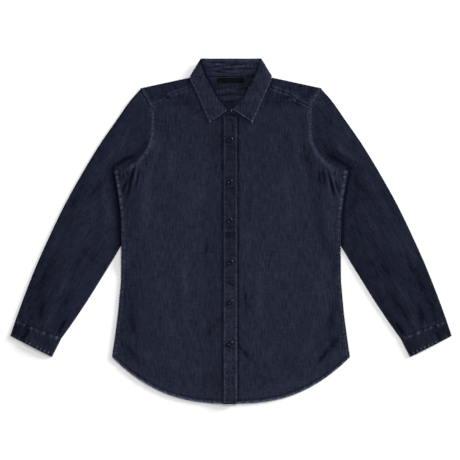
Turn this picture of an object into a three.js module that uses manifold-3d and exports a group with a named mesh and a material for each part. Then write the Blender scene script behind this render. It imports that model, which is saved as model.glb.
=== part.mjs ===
// Denim shirt, buttoned and laid flat, face up, on a level surface.
// Millimetres, +Z up. +Y runs to the collar. The origin is under the middle, on the surface.
import * as THREE from 'three';
import { mergeVertices } from 'three/addons/utils/BufferGeometryUtils.js';
import Module from 'manifold-3d';

const wasm = await Module();
wasm.setup();

// Driving sizes
const WALL = 1.2;
const GAP = 0.3;
const SEAM_GAP = 0.9;
const LAYER = WALL + GAP;
const FRONT_CLEARANCE = 0.5;
const PANEL_COLUMNS = 10;
const BODY_LOFT = 3.4;
const SLEEVE_LOFT = 3.6;
const SIDE_ROLL = 55;
const SHOULDER_ROLL = 45;
const HEM_HALF_WIDTH = 255.5;
const HEM_LOWEST = -370.4;
const HEM_RISE = 100;
const HEM_CURVE = 2.55;
const SHOULDER_X = 194.6;
const SHOULDER_Y = 306.8;
const SHOULDER_SLOPE = 0.215;
const NECK_X = 88;
const NECK_BACK_Y = 332;
const BACK_YOKE_Y = 222;
const YOKE_ARM_Y = 266;
const UNDERARM_Y = 130;
const PLACKET_LEFT = -16.5;
const PLACKET_RIGHT = 12.9;
const PLACKET_TOP = 242;
const UNDER_BAND_LEFT = PLACKET_LEFT + 4;
const UNDER_BAND_RIGHT = PLACKET_RIGHT - 2;
const UNDER_BAND_TOP = 238;
const BAND_PAST_HEM = 0.8;
const LAP_BLEND = 45;
const TUCK_LIFT = 2 * LAYER + 0.8;
const LAP_RISE = 2 * LAYER;
const BUTTON_RADIUS = 5.7;
const BUTTON_HEIGHT = 2.4;
const BUTTON_X = -1.8;
const BUTTON_RIM = BUTTON_RADIUS - 0.7;
const BUTTON_DISH = 1.8;
const BUTTON_SEAT = WALL / 2 + GAP + 0.25;
const STAND_BUTTON = { x: -3.3, y: 255, z: 12.8 };

// Where the body lies over the sleeves: the span of heights and the ramps at its ends
const TUCK_LOW = { y: -95, ramp: 35 };
const TUCK_HIGH = { y: 180, ramp: 22 };

// Where the collar's fall lifts the yoke
const COLLAR_LIFT = { below: 24, ramp: 16, side: 1, fade: 10 };

// The body's roundness beside the armhole and at the hem
const ARM_BLEND = { below: 10, ramp: 40 };
const HEM_LOFT = 0.15;
const HEM_ROLL = 60;
const FRONT_EDGE_BLEND = 0.15;

// Sleeve and cuff: how round they are over their width, and where the sleeve leaves the body
const SLEEVE_ROUND = 0.7;
const SLEEVE_JOIN = 0.16;
const JOIN_FADE = 0.3;
const ARMHOLE_FADE = 0.3;
const OUTSIDE_BODY = { margin: 10, ramp: 30 };
const CLEAR_OF_BODY = { y: 178, ramp: 25 };
const CUFF_ROUND = 0.6;
const CUFF_LOFT = 2.6;
const CUFF_LAP = { height: 1.3, at: 0.31, ramp: 0.03, fade: 0.2 };
const FOLD_INSET = 1.2;
const FOLD_TIP = 0.4;

// Yoke: margins of the part inside the neck and the turn over the shoulder
const YOKE_EDGE = 2;
const YOKE_NECK = { edge: 1, side: 3, fade: 8 };
const SHOULDER_TURN = [{ inward: 8, z: WALL / 2 }, { inward: 1.2, z: WALL / 2 }, { inward: 0.6, z: WALL / 2 + LAYER / 2 }];

// Collar and stand: the low part at the back of the neck, and the lap of the right side
const LOW_EDGE = { z: 6, ramp: 5 };
const NECK_LAP = { y: 300, ramp: 30 };
const LABEL = { half: 28.5, middle: 10, low: 319.3, high: 329.3, gap: 0.1 };

// How finely each piece is divided
const PANEL_ROW_STEPS = 2;
const BAND_COLUMNS = [0, 0.5, 1];
const YOKE_COLUMNS = 18;
const YOKE_LINES = [0, 0.35, 0.62, 0.78, 0.88, 0.94, 1];
const STRIP_COLUMNS = 8;
const STRIP_LINES = [0.04, 0.2, 0.4, 0.7, 1];
const SLEEVE_STEPS = 32;
const SLEEVE_AROUND = 10;
const CUFF_STEPS = 2;
const CUFF_AROUND = 12;
const COLLAR_COLUMNS = 3;
const STAND_COLUMNS = 2;
const BUTTON_FACETS = 16;

// Side edge of the body, half width at each height, from the hem to the underarm,
// with the height that the same row of cloth has at the centre front
const SIDE_ROWS = [
  { x: 255.5, y: -270.5, centre: -370.4 },
  { x: 249.5, y: -229.6, centre: -318 },
  { x: 242.7, y: -178, centre: -250 },
  { x: 236.4, y: -109, centre: -165 },
  { x: 235, y: -40, centre: -80 },
  { x: 236.5, y: 35, centre: 0 },
  { x: 242, y: 76, centre: 45 },
  { x: 251, y: 130, centre: 100 },
];

// Armhole seam from the underarm to the shoulder
const ARMHOLE_ROWS = [
  { x: 251, y: 130, centre: 100 },
  { x: 231, y: 131, centre: 118 },
  { x: 205, y: 148, centre: 140 },
  { x: 186, y: 169, centre: 165 },
  { x: 177, y: 187, centre: 185 },
  { x: 174, y: 204, centre: 200 },
  { x: 173.2, y: 222, centre: 215 },
  { x: 172.8, y: 245, centre: 230 },
  { x: 173, y: 266, centre: 245 },
];
const ARMHOLE_TOP_ROWS = [
  { x: 173, y: 266 },
  { x: 180.2, y: 279 },
  { x: 192.4, y: 299.5 },
  { x: 194.6, y: 306.8 },
];

const ARM_CURVE = [...ARMHOLE_ROWS, ...ARMHOLE_TOP_ROWS.slice(1)];

// Top edge of a front panel: the yoke seam, then the neckline down to the centre
const FRONT_TOP_ROWS = [
  { along: 0, x: 173, y: 266 },
  { along: 0.18, x: 145, y: 279 },
  { along: 0.3, x: 128, y: 293.5 },
  { along: 0.5, x: 88, y: 308 },
  { along: 0.62, x: 69, y: 297 },
  { along: 0.75, x: 50, y: 276 },
  { along: 0.88, x: 22, y: 254 },
  { along: 1, x: 0, y: 243 },
];

// Sleeve stations: the outer fold and the underarm edge, both on one side of the body
const SLEEVE_ROWS = [
  { along: 0, outX: 194.6, outY: 306.8, inX: 252, inY: 131 },
  { along: 0.08, outX: 215, outY: 284, inX: 245, inY: 112 },
  { along: 0.2, outX: 247.5, outY: 237, inX: 226, inY: 84 },
  { along: 0.34, outX: 287, outY: 179, inX: 208, inY: 52 },
  { along: 0.48, outX: 326, outY: 114, inX: 219, inY: 2 },
  { along: 0.6, outX: 358, outY: 56, inX: 245, inY: -47 },
  { along: 0.72, outX: 390, outY: -10, inX: 279, inY: -103 },
  { along: 0.84, outX: 422, outY: -82, inX: 313, inY: -157 },
  { along: 0.93, outX: 447, outY: -146, inX: 340, inY: -197 },
  { along: 1, outX: 464, outY: -192.6, inX: 363.5, inY: -230 },
];
const CUFF_ROWS = [
  { along: 0, outX: 464.2, outY: -193.2, inX: 363.8, inY: -230.7 },
  { along: 1, outX: 474.9, outY: -224.2, inX: 383.8, inY: -270.5 },
];

// Fold at the underarm where the sleeve comes out from under the body
const WING_ROWS = [
  { y: 130, x: 264 },
  { y: 162, x: 208 },
  { y: 180, x: 181 },
  { y: 204, x: 174 },
];

// Inner limit of the sleeve where it lies under the body, half width at each height
const LIFT_ROWS = [
  { y: -60, x: 240 },
  { y: -20, x: 216 },
  { y: 30, x: 203 },
  { y: 60, x: 200 },
  { y: 100, x: 196 },
  { y: 130, x: 186 },
  { y: 175, x: 176 },
];
const LIFT_RAMP = 30;

// Largest folds: middle, direction in degrees, half length, half width and height.
// Positive x is the wearer's left.
const BODY_FOLDS = [
  { x: -213, y: 112, turn: 65, length: 32, width: 6, height: 2.4 },
  { x: -201, y: 105, turn: 76, length: 36, width: 6, height: 1.8 },
  { x: 214, y: 110, turn: 114, length: 32, width: 6, height: 2.2 },
  { x: 202, y: 102, turn: 104, length: 34, width: 6, height: 1.7 },
  { x: -35, y: -198, turn: 52, length: 34, width: 9, height: 1.4 },
  { x: -150, y: -190, turn: 98, length: 110, width: 22, height: 1.5 },
  { x: 165, y: -215, turn: 84, length: 95, width: 22, height: 1.4 },
  { x: 92, y: -40, turn: 90, length: 170, width: 26, height: 1 },
  { x: -96, y: 40, turn: 88, length: 150, width: 26, height: 1 },
];
const SLEEVE_FOLDS = [
  { x: 234, y: 146, turn: 149, length: 34, width: 8, height: -2.2 },
  { x: 318, y: 58, turn: 122, length: 46, width: 14, height: 1.3 },
  { x: 352, y: -38, turn: 118, length: 70, width: 16, height: 1.2 },
  { x: 421, y: -158, turn: 112, length: 55, width: 12, height: -1.6 },
  { x: 372, y: -182, turn: 127, length: 42, width: 11, height: -1.4 },
];

// Collar: the roll line and the outer edge, from the front end round to the middle of the back
const COLLAR_ROWS = [
  { rollX: 2.5, rollY: 261, edgeX: 46, edgeY: 232.5, rollZ: 13.6, edgeZ: 8.2 },
  { rollX: 14, rollY: 274, edgeX: 54, edgeY: 252, rollZ: 13.4, edgeZ: 8 },
  { rollX: 31, rollY: 296, edgeX: 67, edgeY: 281, rollZ: 14.4, edgeZ: 8 },
  { rollX: 41, rollY: 317, edgeX: 79, edgeY: 309, rollZ: 15, edgeZ: 7.4 },
  { rollX: 54, rollY: 341, edgeX: 86, edgeY: 323, rollZ: 14.6, edgeZ: 6.6 },
  { rollX: 62, rollY: 364, edgeX: 86.8, edgeY: 331, rollZ: 12.5, edgeZ: 5.2 },
  { rollX: 64.5, rollY: 369, edgeX: 87.8, edgeY: 333, rollZ: 9, edgeZ: 3 },
  { rollX: 62, rollY: 370, edgeX: 83, edgeY: 331.5, rollZ: 7, edgeZ: 0.7 },
  { rollX: 48, rollY: 370, edgeX: 64, edgeY: 329.5, rollZ: 6.6, edgeZ: 0.6 },
  { rollX: 24, rollY: 370, edgeX: 32, edgeY: 328, rollZ: 6.6, edgeZ: 0.6 },
  { rollX: 0, rollY: 370, edgeX: 0, edgeY: 327.5, rollZ: 6.6, edgeZ: 0.6 },
];

// Collar stand: the neckline seam and the top, in the same order
const STAND_ROWS = [
  { baseX: -11, baseY: 250, topX: -10, topY: 261, baseZ: 7.8, topZ: 8.6 },
  { baseX: 12, baseY: 252, topX: 11, topY: 264, baseZ: 7.8, topZ: 9.4 },
  { baseX: 33, baseY: 265, topX: 27, topY: 279, baseZ: 7.5, topZ: 11 },
  { baseX: 56, baseY: 284, topX: 38, topY: 301, baseZ: 7.3, topZ: 11.6 },
  { baseX: 70, baseY: 303, topX: 47, topY: 322, baseZ: 6.6, topZ: 11.8 },
  { baseX: 78, baseY: 319, topX: 57, topY: 344, baseZ: 5.2, topZ: 11 },
  { baseX: 79, baseY: 330, topX: 61, topY: 360, baseZ: 3.9, topZ: 9.6 },
  { baseX: 76, baseY: 332, topX: 60, topY: 366, baseZ: 3.2, topZ: 9 },
  { baseX: 60, baseY: 331.9, topX: 46, topY: 367.5, baseZ: 3, topZ: 8.9 },
  { baseX: 30, baseY: 331.9, topX: 23, topY: 367.5, baseZ: 3, topZ: 8.9 },
  { baseX: 0, baseY: 331.9, topX: 0, topY: 367.5, baseZ: 3, topZ: 8.9 },
];

const BUTTON_HEIGHTS = [196, 106, 22.5, -66, -152, -240.5];

const clamp = (t) => Math.min(1, Math.max(0, t));
const mix = (a, b, t) => a + (b - a) * t;

function smooth(t) {
  const c = clamp(t);
  return c * c * (3 - 2 * c);
}

// Reads one column of a table at a value of its key column
function read(rows, key, column, value) {
  const rising = rows[rows.length - 1][key] > rows[0][key];
  let i = 0;
  while (i < rows.length - 2 && (rising ? rows[i + 1][key] < value : rows[i + 1][key] > value)) {
    i += 1;
  }
  const span = rows[i + 1][key] - rows[i][key];
  return mix(rows[i][column], rows[i + 1][column], clamp((value - rows[i][key]) / span));
}

// Reads one column at a place between rows, with 0 at the first row and 1 at the last
function along(rows, column, t) {
  const place = clamp(t) * (rows.length - 1);
  const i = Math.min(rows.length - 2, Math.floor(place));
  return mix(rows[i][column], rows[i + 1][column], place - i);
}

function foldHeight(folds, x, y) {
  let sum = 0;
  for (const fold of folds) {
    const angle = THREE.MathUtils.degToRad(fold.turn);
    const dx = x - fold.x;
    const dy = y - fold.y;
    const lengthwise = (dx * Math.cos(angle) + dy * Math.sin(angle)) / fold.length;
    const across = (dy * Math.cos(angle) - dx * Math.sin(angle)) / fold.width;
    sum += fold.height * Math.exp(-lengthwise * lengthwise - across * across);
  }
  return sum;
}

const hemY = (x) => HEM_LOWEST + HEM_RISE * Math.pow(clamp(Math.abs(x) / HEM_HALF_WIDTH), HEM_CURVE);
const shoulderY = (x) => SHOULDER_Y + (SHOULDER_X - Math.abs(x)) * SHOULDER_SLOPE;
const sideX = (y) => read(SIDE_ROWS, 'y', 'x', y);
const armX = (y) => read(ARM_CURVE, 'y', 'x', y);

// How far the sleeve under it lifts the body off the surface
function tuckLift(x, y) {
  const inward = smooth((Math.abs(x) - read(LIFT_ROWS, 'y', 'x', y) + LIFT_RAMP) / LIFT_RAMP);
  const above = smooth((y - TUCK_LOW.y) / TUCK_LOW.ramp);
  return TUCK_LIFT * inward * above * (1 - smooth((y - TUCK_HIGH.y) / TUCK_HIGH.ramp));
}

// The collar's fall lifts the middle of the yoke at the back of the neck
function collarLift(x, y) {
  const upwards = smooth((y - NECK_BACK_Y + COLLAR_LIFT.below) / COLLAR_LIFT.ramp);
  const sideways = smooth((Math.abs(x) - NECK_X - COLLAR_LIFT.side) / COLLAR_LIFT.fade);
  return (LAYER + FRONT_CLEARANCE) * upwards * (1 - sideways);
}

function loft(x, y) {
  const besideArm = smooth((y - UNDERARM_Y + ARM_BLEND.below) / ARM_BLEND.ramp);
  const side = mix(sideX(y) - Math.abs(x), SIDE_ROLL, besideArm);
  const hem = mix(HEM_LOFT, 1, smooth((y - hemY(x)) / HEM_ROLL));
  return BODY_LOFT * smooth(side / SIDE_ROLL) * hem * smooth((shoulderY(x) - y) / SHOULDER_ROLL);
}

const backMid = (x, y) => WALL / 2 + Math.max(tuckLift(x, y), collarLift(x, y));

// The two fronts share one level, and the right one is two layers higher where it laps
function frontMid(x, y) {
  return WALL / 2 + LAYER + FRONT_CLEARANCE + tuckLift(x, y) + loft(x, y) + foldHeight(BODY_FOLDS, x, y);
}
const lapRise = (x) => LAP_RISE * smooth((x - PLACKET_LEFT + LAP_BLEND) / LAP_BLEND);

function closedGeometry(points, triangles) {
  let volume = 0;
  for (let i = 0; i < triangles.length; i += 3) {
    const [a, b, c] = [0, 1, 2].map((k) => points[triangles[i + k]]);
    volume += a.dot(new THREE.Vector3().crossVectors(b, c));
  }
  if (volume < 0) triangles.reverse();
  const geometry = new THREE.BufferGeometry();
  geometry.setAttribute('position', new THREE.Float32BufferAttribute(points.flatMap((p) => p.toArray()), 3));
  geometry.setIndex(triangles);
  return geometry;
}

// Closed cloth wall round a middle surface of rows and columns of points.
// A ring wall joins its last column to its first.
function wall(rows, ring = false) {
  const rowCount = rows.length;
  const columnCount = rows[0].length;
  const at = (i, j) => {
    const row = rows[Math.min(rowCount - 1, Math.max(0, i))];
    return ring ? row[(j + columnCount) % columnCount] : row[Math.min(columnCount - 1, Math.max(0, j))];
  };
  const points = [];
  for (const side of [0.5, -0.5]) {
    for (let i = 0; i < rowCount; i += 1) {
      for (let j = 0; j < columnCount; j += 1) {
        const down = at(i + 1, j).clone().sub(at(i - 1, j));
        const across = at(i, j + 1).clone().sub(at(i, j - 1));
        const normal = across.cross(down).normalize();
        points.push(at(i, j).clone().addScaledVector(normal, side * WALL));
      }
    }
  }
  const layer = rowCount * columnCount;
  const index = (side, i, j) => side * layer + i * columnCount + (j % columnCount);
  const triangles = [];
  const quad = (a, b, c, d) => triangles.push(a, b, c, a, c, d);
  const lastColumn = ring ? columnCount : columnCount - 1;
  for (let i = 0; i < rowCount - 1; i += 1) {
    for (let j = 0; j < lastColumn; j += 1) {
      quad(index(0, i, j), index(0, i, j + 1), index(0, i + 1, j + 1), index(0, i + 1, j));
      quad(index(1, i, j), index(1, i + 1, j), index(1, i + 1, j + 1), index(1, i, j + 1));
    }
    if (!ring) {
      quad(index(0, i, 0), index(0, i + 1, 0), index(1, i + 1, 0), index(1, i, 0));
      quad(index(0, i + 1, lastColumn), index(0, i, lastColumn), index(1, i, lastColumn), index(1, i + 1, lastColumn));
    }
  }
  const end = rowCount - 1;
  for (let j = 0; j < lastColumn; j += 1) {
    quad(index(0, 0, j + 1), index(0, 0, j), index(1, 0, j), index(1, 0, j + 1));
    quad(index(0, end, j), index(0, end, j + 1), index(1, end, j + 1), index(1, end, j));
  }
  return closedGeometry(points, triangles);
}

function toSolid(geometry) {
  const plain = geometry.clone();
  plain.deleteAttribute('normal');
  plain.deleteAttribute('uv');
  const merged = mergeVertices(plain);
  return new wasm.Manifold(new wasm.Mesh({
    numProp: 3,
    vertProperties: new Float32Array(merged.attributes.position.array),
    triVerts: new Uint32Array(merged.index.array),
  }));
}

function fromSolid(solid) {
  const mesh = solid.getMesh();
  const geometry = new THREE.BufferGeometry();
  geometry.setAttribute('position', new THREE.BufferAttribute(mesh.vertProperties, 3));
  geometry.setIndex(new THREE.BufferAttribute(mesh.triVerts, 1));
  return geometry;
}

// Materials
const material = (color, roughness, metalness = 0) =>
  new THREE.MeshStandardMaterial({ color, roughness, metalness });
const denimBody = material(0x242736, 0.92);
const denimSleeve = material(0x1e2130, 0.92);
const denimCollar = material(0x252838, 0.92);
const denimBand = material(0x1d2030, 0.92);
const labelCloth = material(0x0b0b0d, 0.8);
const buttonShell = material(0x111216, 0.35);

const shirt = new THREE.Group();

function add(name, geometry, finish) {
  const mesh = new THREE.Mesh(geometry, finish);
  mesh.name = name;
  shirt.add(mesh);
  return mesh;
}

// A body panel between four edges, blended from the side edge to the centre line.
// edge rows give the side point and the height at the centre.
function panelRows(hand, edgeRows, centreX, topEdge, level) {
  const lines = [];
  const last = edgeRows[edgeRows.length - 1];
  const count = (edgeRows.length - 1) * PANEL_ROW_STEPS;
  for (let i = 0; i <= count; i += 1) {
    const t = i / count;
    const side = { x: along(edgeRows, 'x', t), y: along(edgeRows, 'y', t) };
    const centre = along(edgeRows, 'centre', t);
    const line = [];
    for (let j = 0; j <= PANEL_COLUMNS; j += 1) {
      const u = j / PANEL_COLUMNS;
      const reach = (width, u2) => mix(width, hand * centreX, u2);
      const low = { x: reach(HEM_HALF_WIDTH, u), y: 0 };
      low.y = hemY(low.x);
      const high = topEdge(u);
      const straightLow = mix(edgeRows[0].y, edgeRows[0].centre, u);
      const straightHigh = mix(last.y, last.centre, u);
      const straightHighX = reach(last.x, u);
      const x = reach(side.x, u) + t * (high.x - straightHighX);
      const y = mix(side.y, centre, u) + (1 - t) * (low.y - straightLow) + t * (high.y - straightHigh);
      line.push(new THREE.Vector3(hand * x, y, level(hand * x, y)));
    }
    lines.push(line);
  }
  return lines;
}

const FRONT_EDGE_ROWS = [...SIDE_ROWS, ...ARMHOLE_ROWS.slice(1)];
const BACK_EDGE_ROWS = FRONT_EDGE_ROWS.filter((row) => row.y <= BACK_YOKE_Y);

function frontTop(hand, centreX) {
  return (u) => {
    const y = read(FRONT_TOP_ROWS, 'along', 'y', u) - SEAM_GAP;
    const x = read(FRONT_TOP_ROWS, 'along', 'x', u);
    return { x: x + hand * centreX * smooth((u - 1 + FRONT_EDGE_BLEND) / FRONT_EDGE_BLEND), y };
  };
}

function buildBack() {
  const corner = BACK_EDGE_ROWS[BACK_EDGE_ROWS.length - 1];
  const top = (u) => ({ x: mix(corner.x, 0, u), y: BACK_YOKE_Y - SEAM_GAP });
  const half = (hand) => panelRows(hand, BACK_EDGE_ROWS, 0, top, backMid);
  const right = half(-1);
  const left = half(1);
  const rows = right.map((line, i) => [...line, ...left[i].slice(0, -1).reverse()]);
  add('back', wall(rows), denimBody);
}

function buildFronts() {
  const rightLevel = (x, y) => frontMid(x, y) + lapRise(x);
  const rightEdge = PLACKET_RIGHT - 1;
  const leftEdge = UNDER_BAND_LEFT - 0.5;
  const right = panelRows(-1, FRONT_EDGE_ROWS, rightEdge, frontTop(-1, rightEdge), rightLevel);
  const left = panelRows(1, FRONT_EDGE_ROWS, leftEdge, frontTop(1, leftEdge), frontMid);
  add('front_right', wall(right), denimBody);
  add('front_left', wall(left), denimBody);
}

// A band down the centre front, laid on its panel with the panel's own rows
function bandRows(fromX, toX, top, level) {
  const rows = [];
  const count = (FRONT_EDGE_ROWS.length - 1) * PANEL_ROW_STEPS;
  for (let i = 0; i <= count; i += 1) {
    const line = [];
    for (const u of BAND_COLUMNS) {
      const x = mix(fromX, toX, u);
      const y = Math.max(along(FRONT_EDGE_ROWS, 'centre', i / count), hemY(x) - BAND_PAST_HEM);
      line.push(new THREE.Vector3(x, Math.min(y, top), level(x, y)));
    }
    if (line[1].y > top - 2) break;
    rows.push(line);
  }
  return rows;
}

const bandLevel = (x, y) => frontMid(x, y) + LAP_RISE + LAYER;

function buildBands() {
  const under = (x, y) => frontMid(x, y) + LAYER;
  add('placket', wall(bandRows(PLACKET_LEFT, PLACKET_RIGHT, PLACKET_TOP, bandLevel)), denimBand);
  add('button_band', wall(bandRows(UNDER_BAND_LEFT, UNDER_BAND_RIGHT, UNDER_BAND_TOP, under)), denimBand);
}

// The yoke: a back part inside the neck and two strips that fold over the shoulders
function buildYoke() {
  const backPart = [];
  for (const t of YOKE_LINES) {
    const line = [];
    for (let j = 0; j <= YOKE_COLUMNS; j += 1) {
      const u = (2 * j) / YOKE_COLUMNS - 1;
      const x = u * armX(mix(BACK_YOKE_Y, SHOULDER_Y - YOKE_EDGE, t));
      const neck = smooth((NECK_X + YOKE_NECK.side - Math.abs(x)) / YOKE_NECK.fade);
      const top = mix(shoulderY(x) - YOKE_EDGE, NECK_BACK_Y - YOKE_NECK.edge, neck);
      const y = mix(BACK_YOKE_Y, top, t);
      line.push(new THREE.Vector3(x, y, backMid(x, y)));
    }
    backPart.push(line);
  }
  let solid = toSolid(wall(backPart));
  for (const hand of [-1, 1]) {
    const strip = [];
    for (let j = 0; j <= STRIP_COLUMNS; j += 1) {
      const u = j / STRIP_COLUMNS;
      const across = (height) => mix(armX(height), NECK_X, u);
      const foldX = across(SHOULDER_Y);
      const foldY = shoulderY(foldX);
      const seamY = read(FRONT_TOP_ROWS, 'x', 'y', across(YOKE_ARM_Y));
      const lie = ({ inward, z }) => new THREE.Vector3(hand * across(SHOULDER_Y - inward), foldY - inward, z);
      const line = SHOULDER_TURN.map(lie);
      for (const t of STRIP_LINES) {
        const x = across(mix(SHOULDER_Y, YOKE_ARM_Y, t));
        const y = mix(foldY, seamY + SEAM_GAP / 2, t);
        line.push(new THREE.Vector3(hand * x, y, frontMid(x, y)));
      }
      strip.push(line);
    }
    solid = solid.add(toSolid(wall(strip)));
  }
  add('yoke', fromSolid(solid), denimBody);
}

// Flattened tube through the stations of a table, open at both ends
function tubeRows(hand, rows, steps, around, level, shiftAt) {
  const rings = [];
  for (let i = 0; i <= steps; i += 1) {
    const t = i / steps;
    const out = { x: read(rows, 'along', 'outX', t), y: read(rows, 'along', 'outY', t) };
    const inner = { x: read(rows, 'along', 'inX', t), y: read(rows, 'along', 'inY', t) };
    const place = (s) => {
      return { x: mix(out.x, inner.x, s) + shiftAt(t, s), y: mix(out.y, inner.y, s) };
    };
    const ring = [];
    const spread = [];
    for (let k = 0; k <= around; k += 1) spread.push((1 - Math.cos((Math.PI * k) / around)) / 2);
    const width = Math.hypot(inner.x - out.x, inner.y - out.y);
    const inset = FOLD_INSET / width;
    const tip = FOLD_TIP / width;
    for (const s of spread) {
      const p = place(mix(inset, 1 - inset, s));
      ring.push(new THREE.Vector3(hand * p.x, p.y, level(p.x, p.y, s, t)));
    }
    const fold = WALL / 2 + LAYER / 2;
    const innerFold = place(1 - tip);
    ring.push(new THREE.Vector3(hand * innerFold.x, innerFold.y, fold));
    for (const s of [...spread].reverse()) {
      const p = place(mix(inset, 1 - inset, s));
      ring.push(new THREE.Vector3(hand * p.x, p.y, WALL / 2));
    }
    const outerFold = place(tip);
    ring.push(new THREE.Vector3(hand * outerFold.x, outerFold.y, fold));
    rings.push(ring);
  }
  return rings;
}

// Plan shift that lays the first ring of a sleeve along the armhole seam
function armholeShift(t, s) {
  const first = SLEEVE_ROWS[0];
  const fade = 1 - smooth(t / ARMHOLE_FADE);
  const drop = mix(first.outY, first.inY, s);
  const seamX = armX(drop) + SEAM_GAP;
  return (seamX - mix(first.outX, first.inX, s)) * fade;
}

function sleeveLevel(x, y, s, t) {
  const flat = WALL / 2 + LAYER;
  const round = Math.pow(clamp(4 * s * (1 - s)), SLEEVE_ROUND);
  const free = flat + SLEEVE_LOFT * round + foldHeight(SLEEVE_FOLDS, x, y) * smooth(round * 2);
  const atBody = flat + loft(x, y) * smooth((1 - s) / JOIN_FADE);
  const joined = mix(atBody, free, smooth(t / SLEEVE_JOIN));
  const bodyEdge = y > UNDERARM_Y ? read(WING_ROWS, 'y', 'x', y) : sideX(y);
  const outside = smooth((x - bodyEdge - OUTSIDE_BODY.margin) / OUTSIDE_BODY.ramp);
  const clear = smooth((y - CLEAR_OF_BODY.y) / CLEAR_OF_BODY.ramp);
  return mix(flat, joined, Math.max(outside, clear));
}

function cuffLevel(x, y, s) {
  const round = Math.pow(clamp(4 * s * (1 - s)), CUFF_ROUND);
  const lap = smooth((s - CUFF_LAP.at) / CUFF_LAP.ramp) * smooth((1 - s) / CUFF_LAP.fade);
  return WALL / 2 + LAYER + CUFF_LOFT * round + CUFF_LAP.height * lap;
}

function buildSleeves() {
  const unshifted = () => 0;
  for (const [name, hand] of [['right', -1], ['left', 1]]) {
    const sleeve = tubeRows(hand, SLEEVE_ROWS, SLEEVE_STEPS, SLEEVE_AROUND, sleeveLevel, armholeShift);
    const cuff = tubeRows(hand, CUFF_ROWS, CUFF_STEPS, CUFF_AROUND, cuffLevel, unshifted);
    add(`sleeve_${name}`, wall(sleeve, true), denimSleeve);
    add(`cuff_${name}`, wall(cuff, true), denimBand);
  }
}

// A band round the neck, mirrored from the rows of one side
function neckBand(rows, inner, outer, columns) {
  const section = (row, hand) => {
    const line = [];
    for (let j = 0; j <= columns; j += 1) {
      const v = j / columns;
      const bend = mix(v, 1 - (1 - v) * (1 - v), smooth((LOW_EDGE.z - row[`${outer}Z`]) / LOW_EDGE.ramp));
      const p = (column) => mix(row[inner + column], row[outer + column], column === 'Z' ? bend : v);
      const lap = hand < 0 ? lapRise(-p('X')) * smooth((NECK_LAP.y - p('Y')) / NECK_LAP.ramp) : 0;
      line.push(new THREE.Vector3(hand * p('X'), p('Y'), p('Z') + lap));
    }
    return line;
  };
  const right = rows.map((row) => section(row, -1));
  const left = rows.slice(0, -1).reverse().map((row) => section(row, 1));
  return [...right, ...left];
}

function buildCollar() {
  add('collar', wall(neckBand(COLLAR_ROWS, 'roll', 'edge', COLLAR_COLUMNS)), denimCollar);
  add('collar_stand', wall(neckBand(STAND_ROWS, 'base', 'top', STAND_COLUMNS)), denimCollar);
}

function buildLabel() {
  const rows = [];
  const across = [-LABEL.half, -LABEL.middle, LABEL.middle, LABEL.half];
  for (const y of [LABEL.low, (LABEL.low + LABEL.high) / 2, LABEL.high]) {
    rows.push(across.map((x) => new THREE.Vector3(x, y, backMid(x, y) + LAYER + LABEL.gap)));
  }
  add('neck_label', wall(rows), labelCloth);
}

function buttonGeometry() {
  const profile = [
    [0, 0],
    [BUTTON_RIM, 0],
    [BUTTON_RADIUS, 1.1],
    [BUTTON_RIM, BUTTON_HEIGHT],
    [BUTTON_RIM - 1, BUTTON_DISH],
    [0, BUTTON_DISH],
  ];
  const geometry = new THREE.LatheGeometry(profile.map(([r, z]) => new THREE.Vector2(r, z)), BUTTON_FACETS);
  return geometry.rotateX(Math.PI / 2);
}

function buildButtons() {
  BUTTON_HEIGHTS.forEach((y, i) => {
    const button = add(`button_${i + 1}`, buttonGeometry(), buttonShell);
    button.position.set(BUTTON_X, y, bandLevel(BUTTON_X, y) + BUTTON_SEAT);
  });
  const top = add('stand_button', buttonGeometry(), buttonShell);
  top.position.set(STAND_BUTTON.x, STAND_BUTTON.y, STAND_BUTTON.z);
}

buildBack();
buildFronts();
buildBands();
buildYoke();
buildSleeves();
buildCollar();
buildLabel();
buildButtons();

export default shirt;
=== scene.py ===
"""A denim shirt, buttoned and laid flat on a pale surface, seen from straight above."""

import math

import bmesh
import bpy
import numpy as np
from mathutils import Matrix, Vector


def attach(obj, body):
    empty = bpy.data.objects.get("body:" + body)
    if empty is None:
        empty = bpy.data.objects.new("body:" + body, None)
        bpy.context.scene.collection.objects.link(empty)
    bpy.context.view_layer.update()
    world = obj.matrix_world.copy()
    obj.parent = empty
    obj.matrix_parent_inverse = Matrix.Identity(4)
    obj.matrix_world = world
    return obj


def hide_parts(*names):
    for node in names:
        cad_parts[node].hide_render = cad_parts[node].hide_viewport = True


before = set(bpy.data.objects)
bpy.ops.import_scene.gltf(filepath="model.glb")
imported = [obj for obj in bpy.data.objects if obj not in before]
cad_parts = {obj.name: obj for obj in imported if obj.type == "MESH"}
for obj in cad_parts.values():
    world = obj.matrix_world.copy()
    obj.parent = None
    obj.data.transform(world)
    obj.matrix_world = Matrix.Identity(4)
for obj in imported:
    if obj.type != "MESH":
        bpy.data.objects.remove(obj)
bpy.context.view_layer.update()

# Sizes in millimetres, as in the solid model
MM = 0.001
WALL = 1.2
GAP = 0.3
LAYER = WALL + GAP
FRONT_CLEARANCE = 0.5
TUCK_LIFT = 2 * LAYER + 0.8
LAP_RISE = 2 * LAYER
BODY_LOFT = 3.4
SLEEVE_LOFT = 3.6
SIDE_ROLL = 55
SHOULDER_ROLL = 45
SEAM_GAP = 0.9
SEAM_TUCK = 1.4
SEAM_DROP = 1.1
HEM_HALF_WIDTH = 255.5
HEM_LOWEST = -370.4
HEM_RISE = 100
HEM_CURVE = 2.55
SHOULDER_X = 194.6
SHOULDER_Y = 306.8
SHOULDER_SLOPE = 0.215
NECK_X = 88
NECK_BACK_Y = 332
BACK_YOKE_Y = 222
YOKE_ARM_Y = 266
UNDERARM_Y = 130
PLACKET_LEFT = -16.5
PLACKET_RIGHT = 12.9
PLACKET_TOP = 242
LAP_BLEND = 45
LIFT_RAMP = 30
BUTTON_X = -1.8
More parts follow.
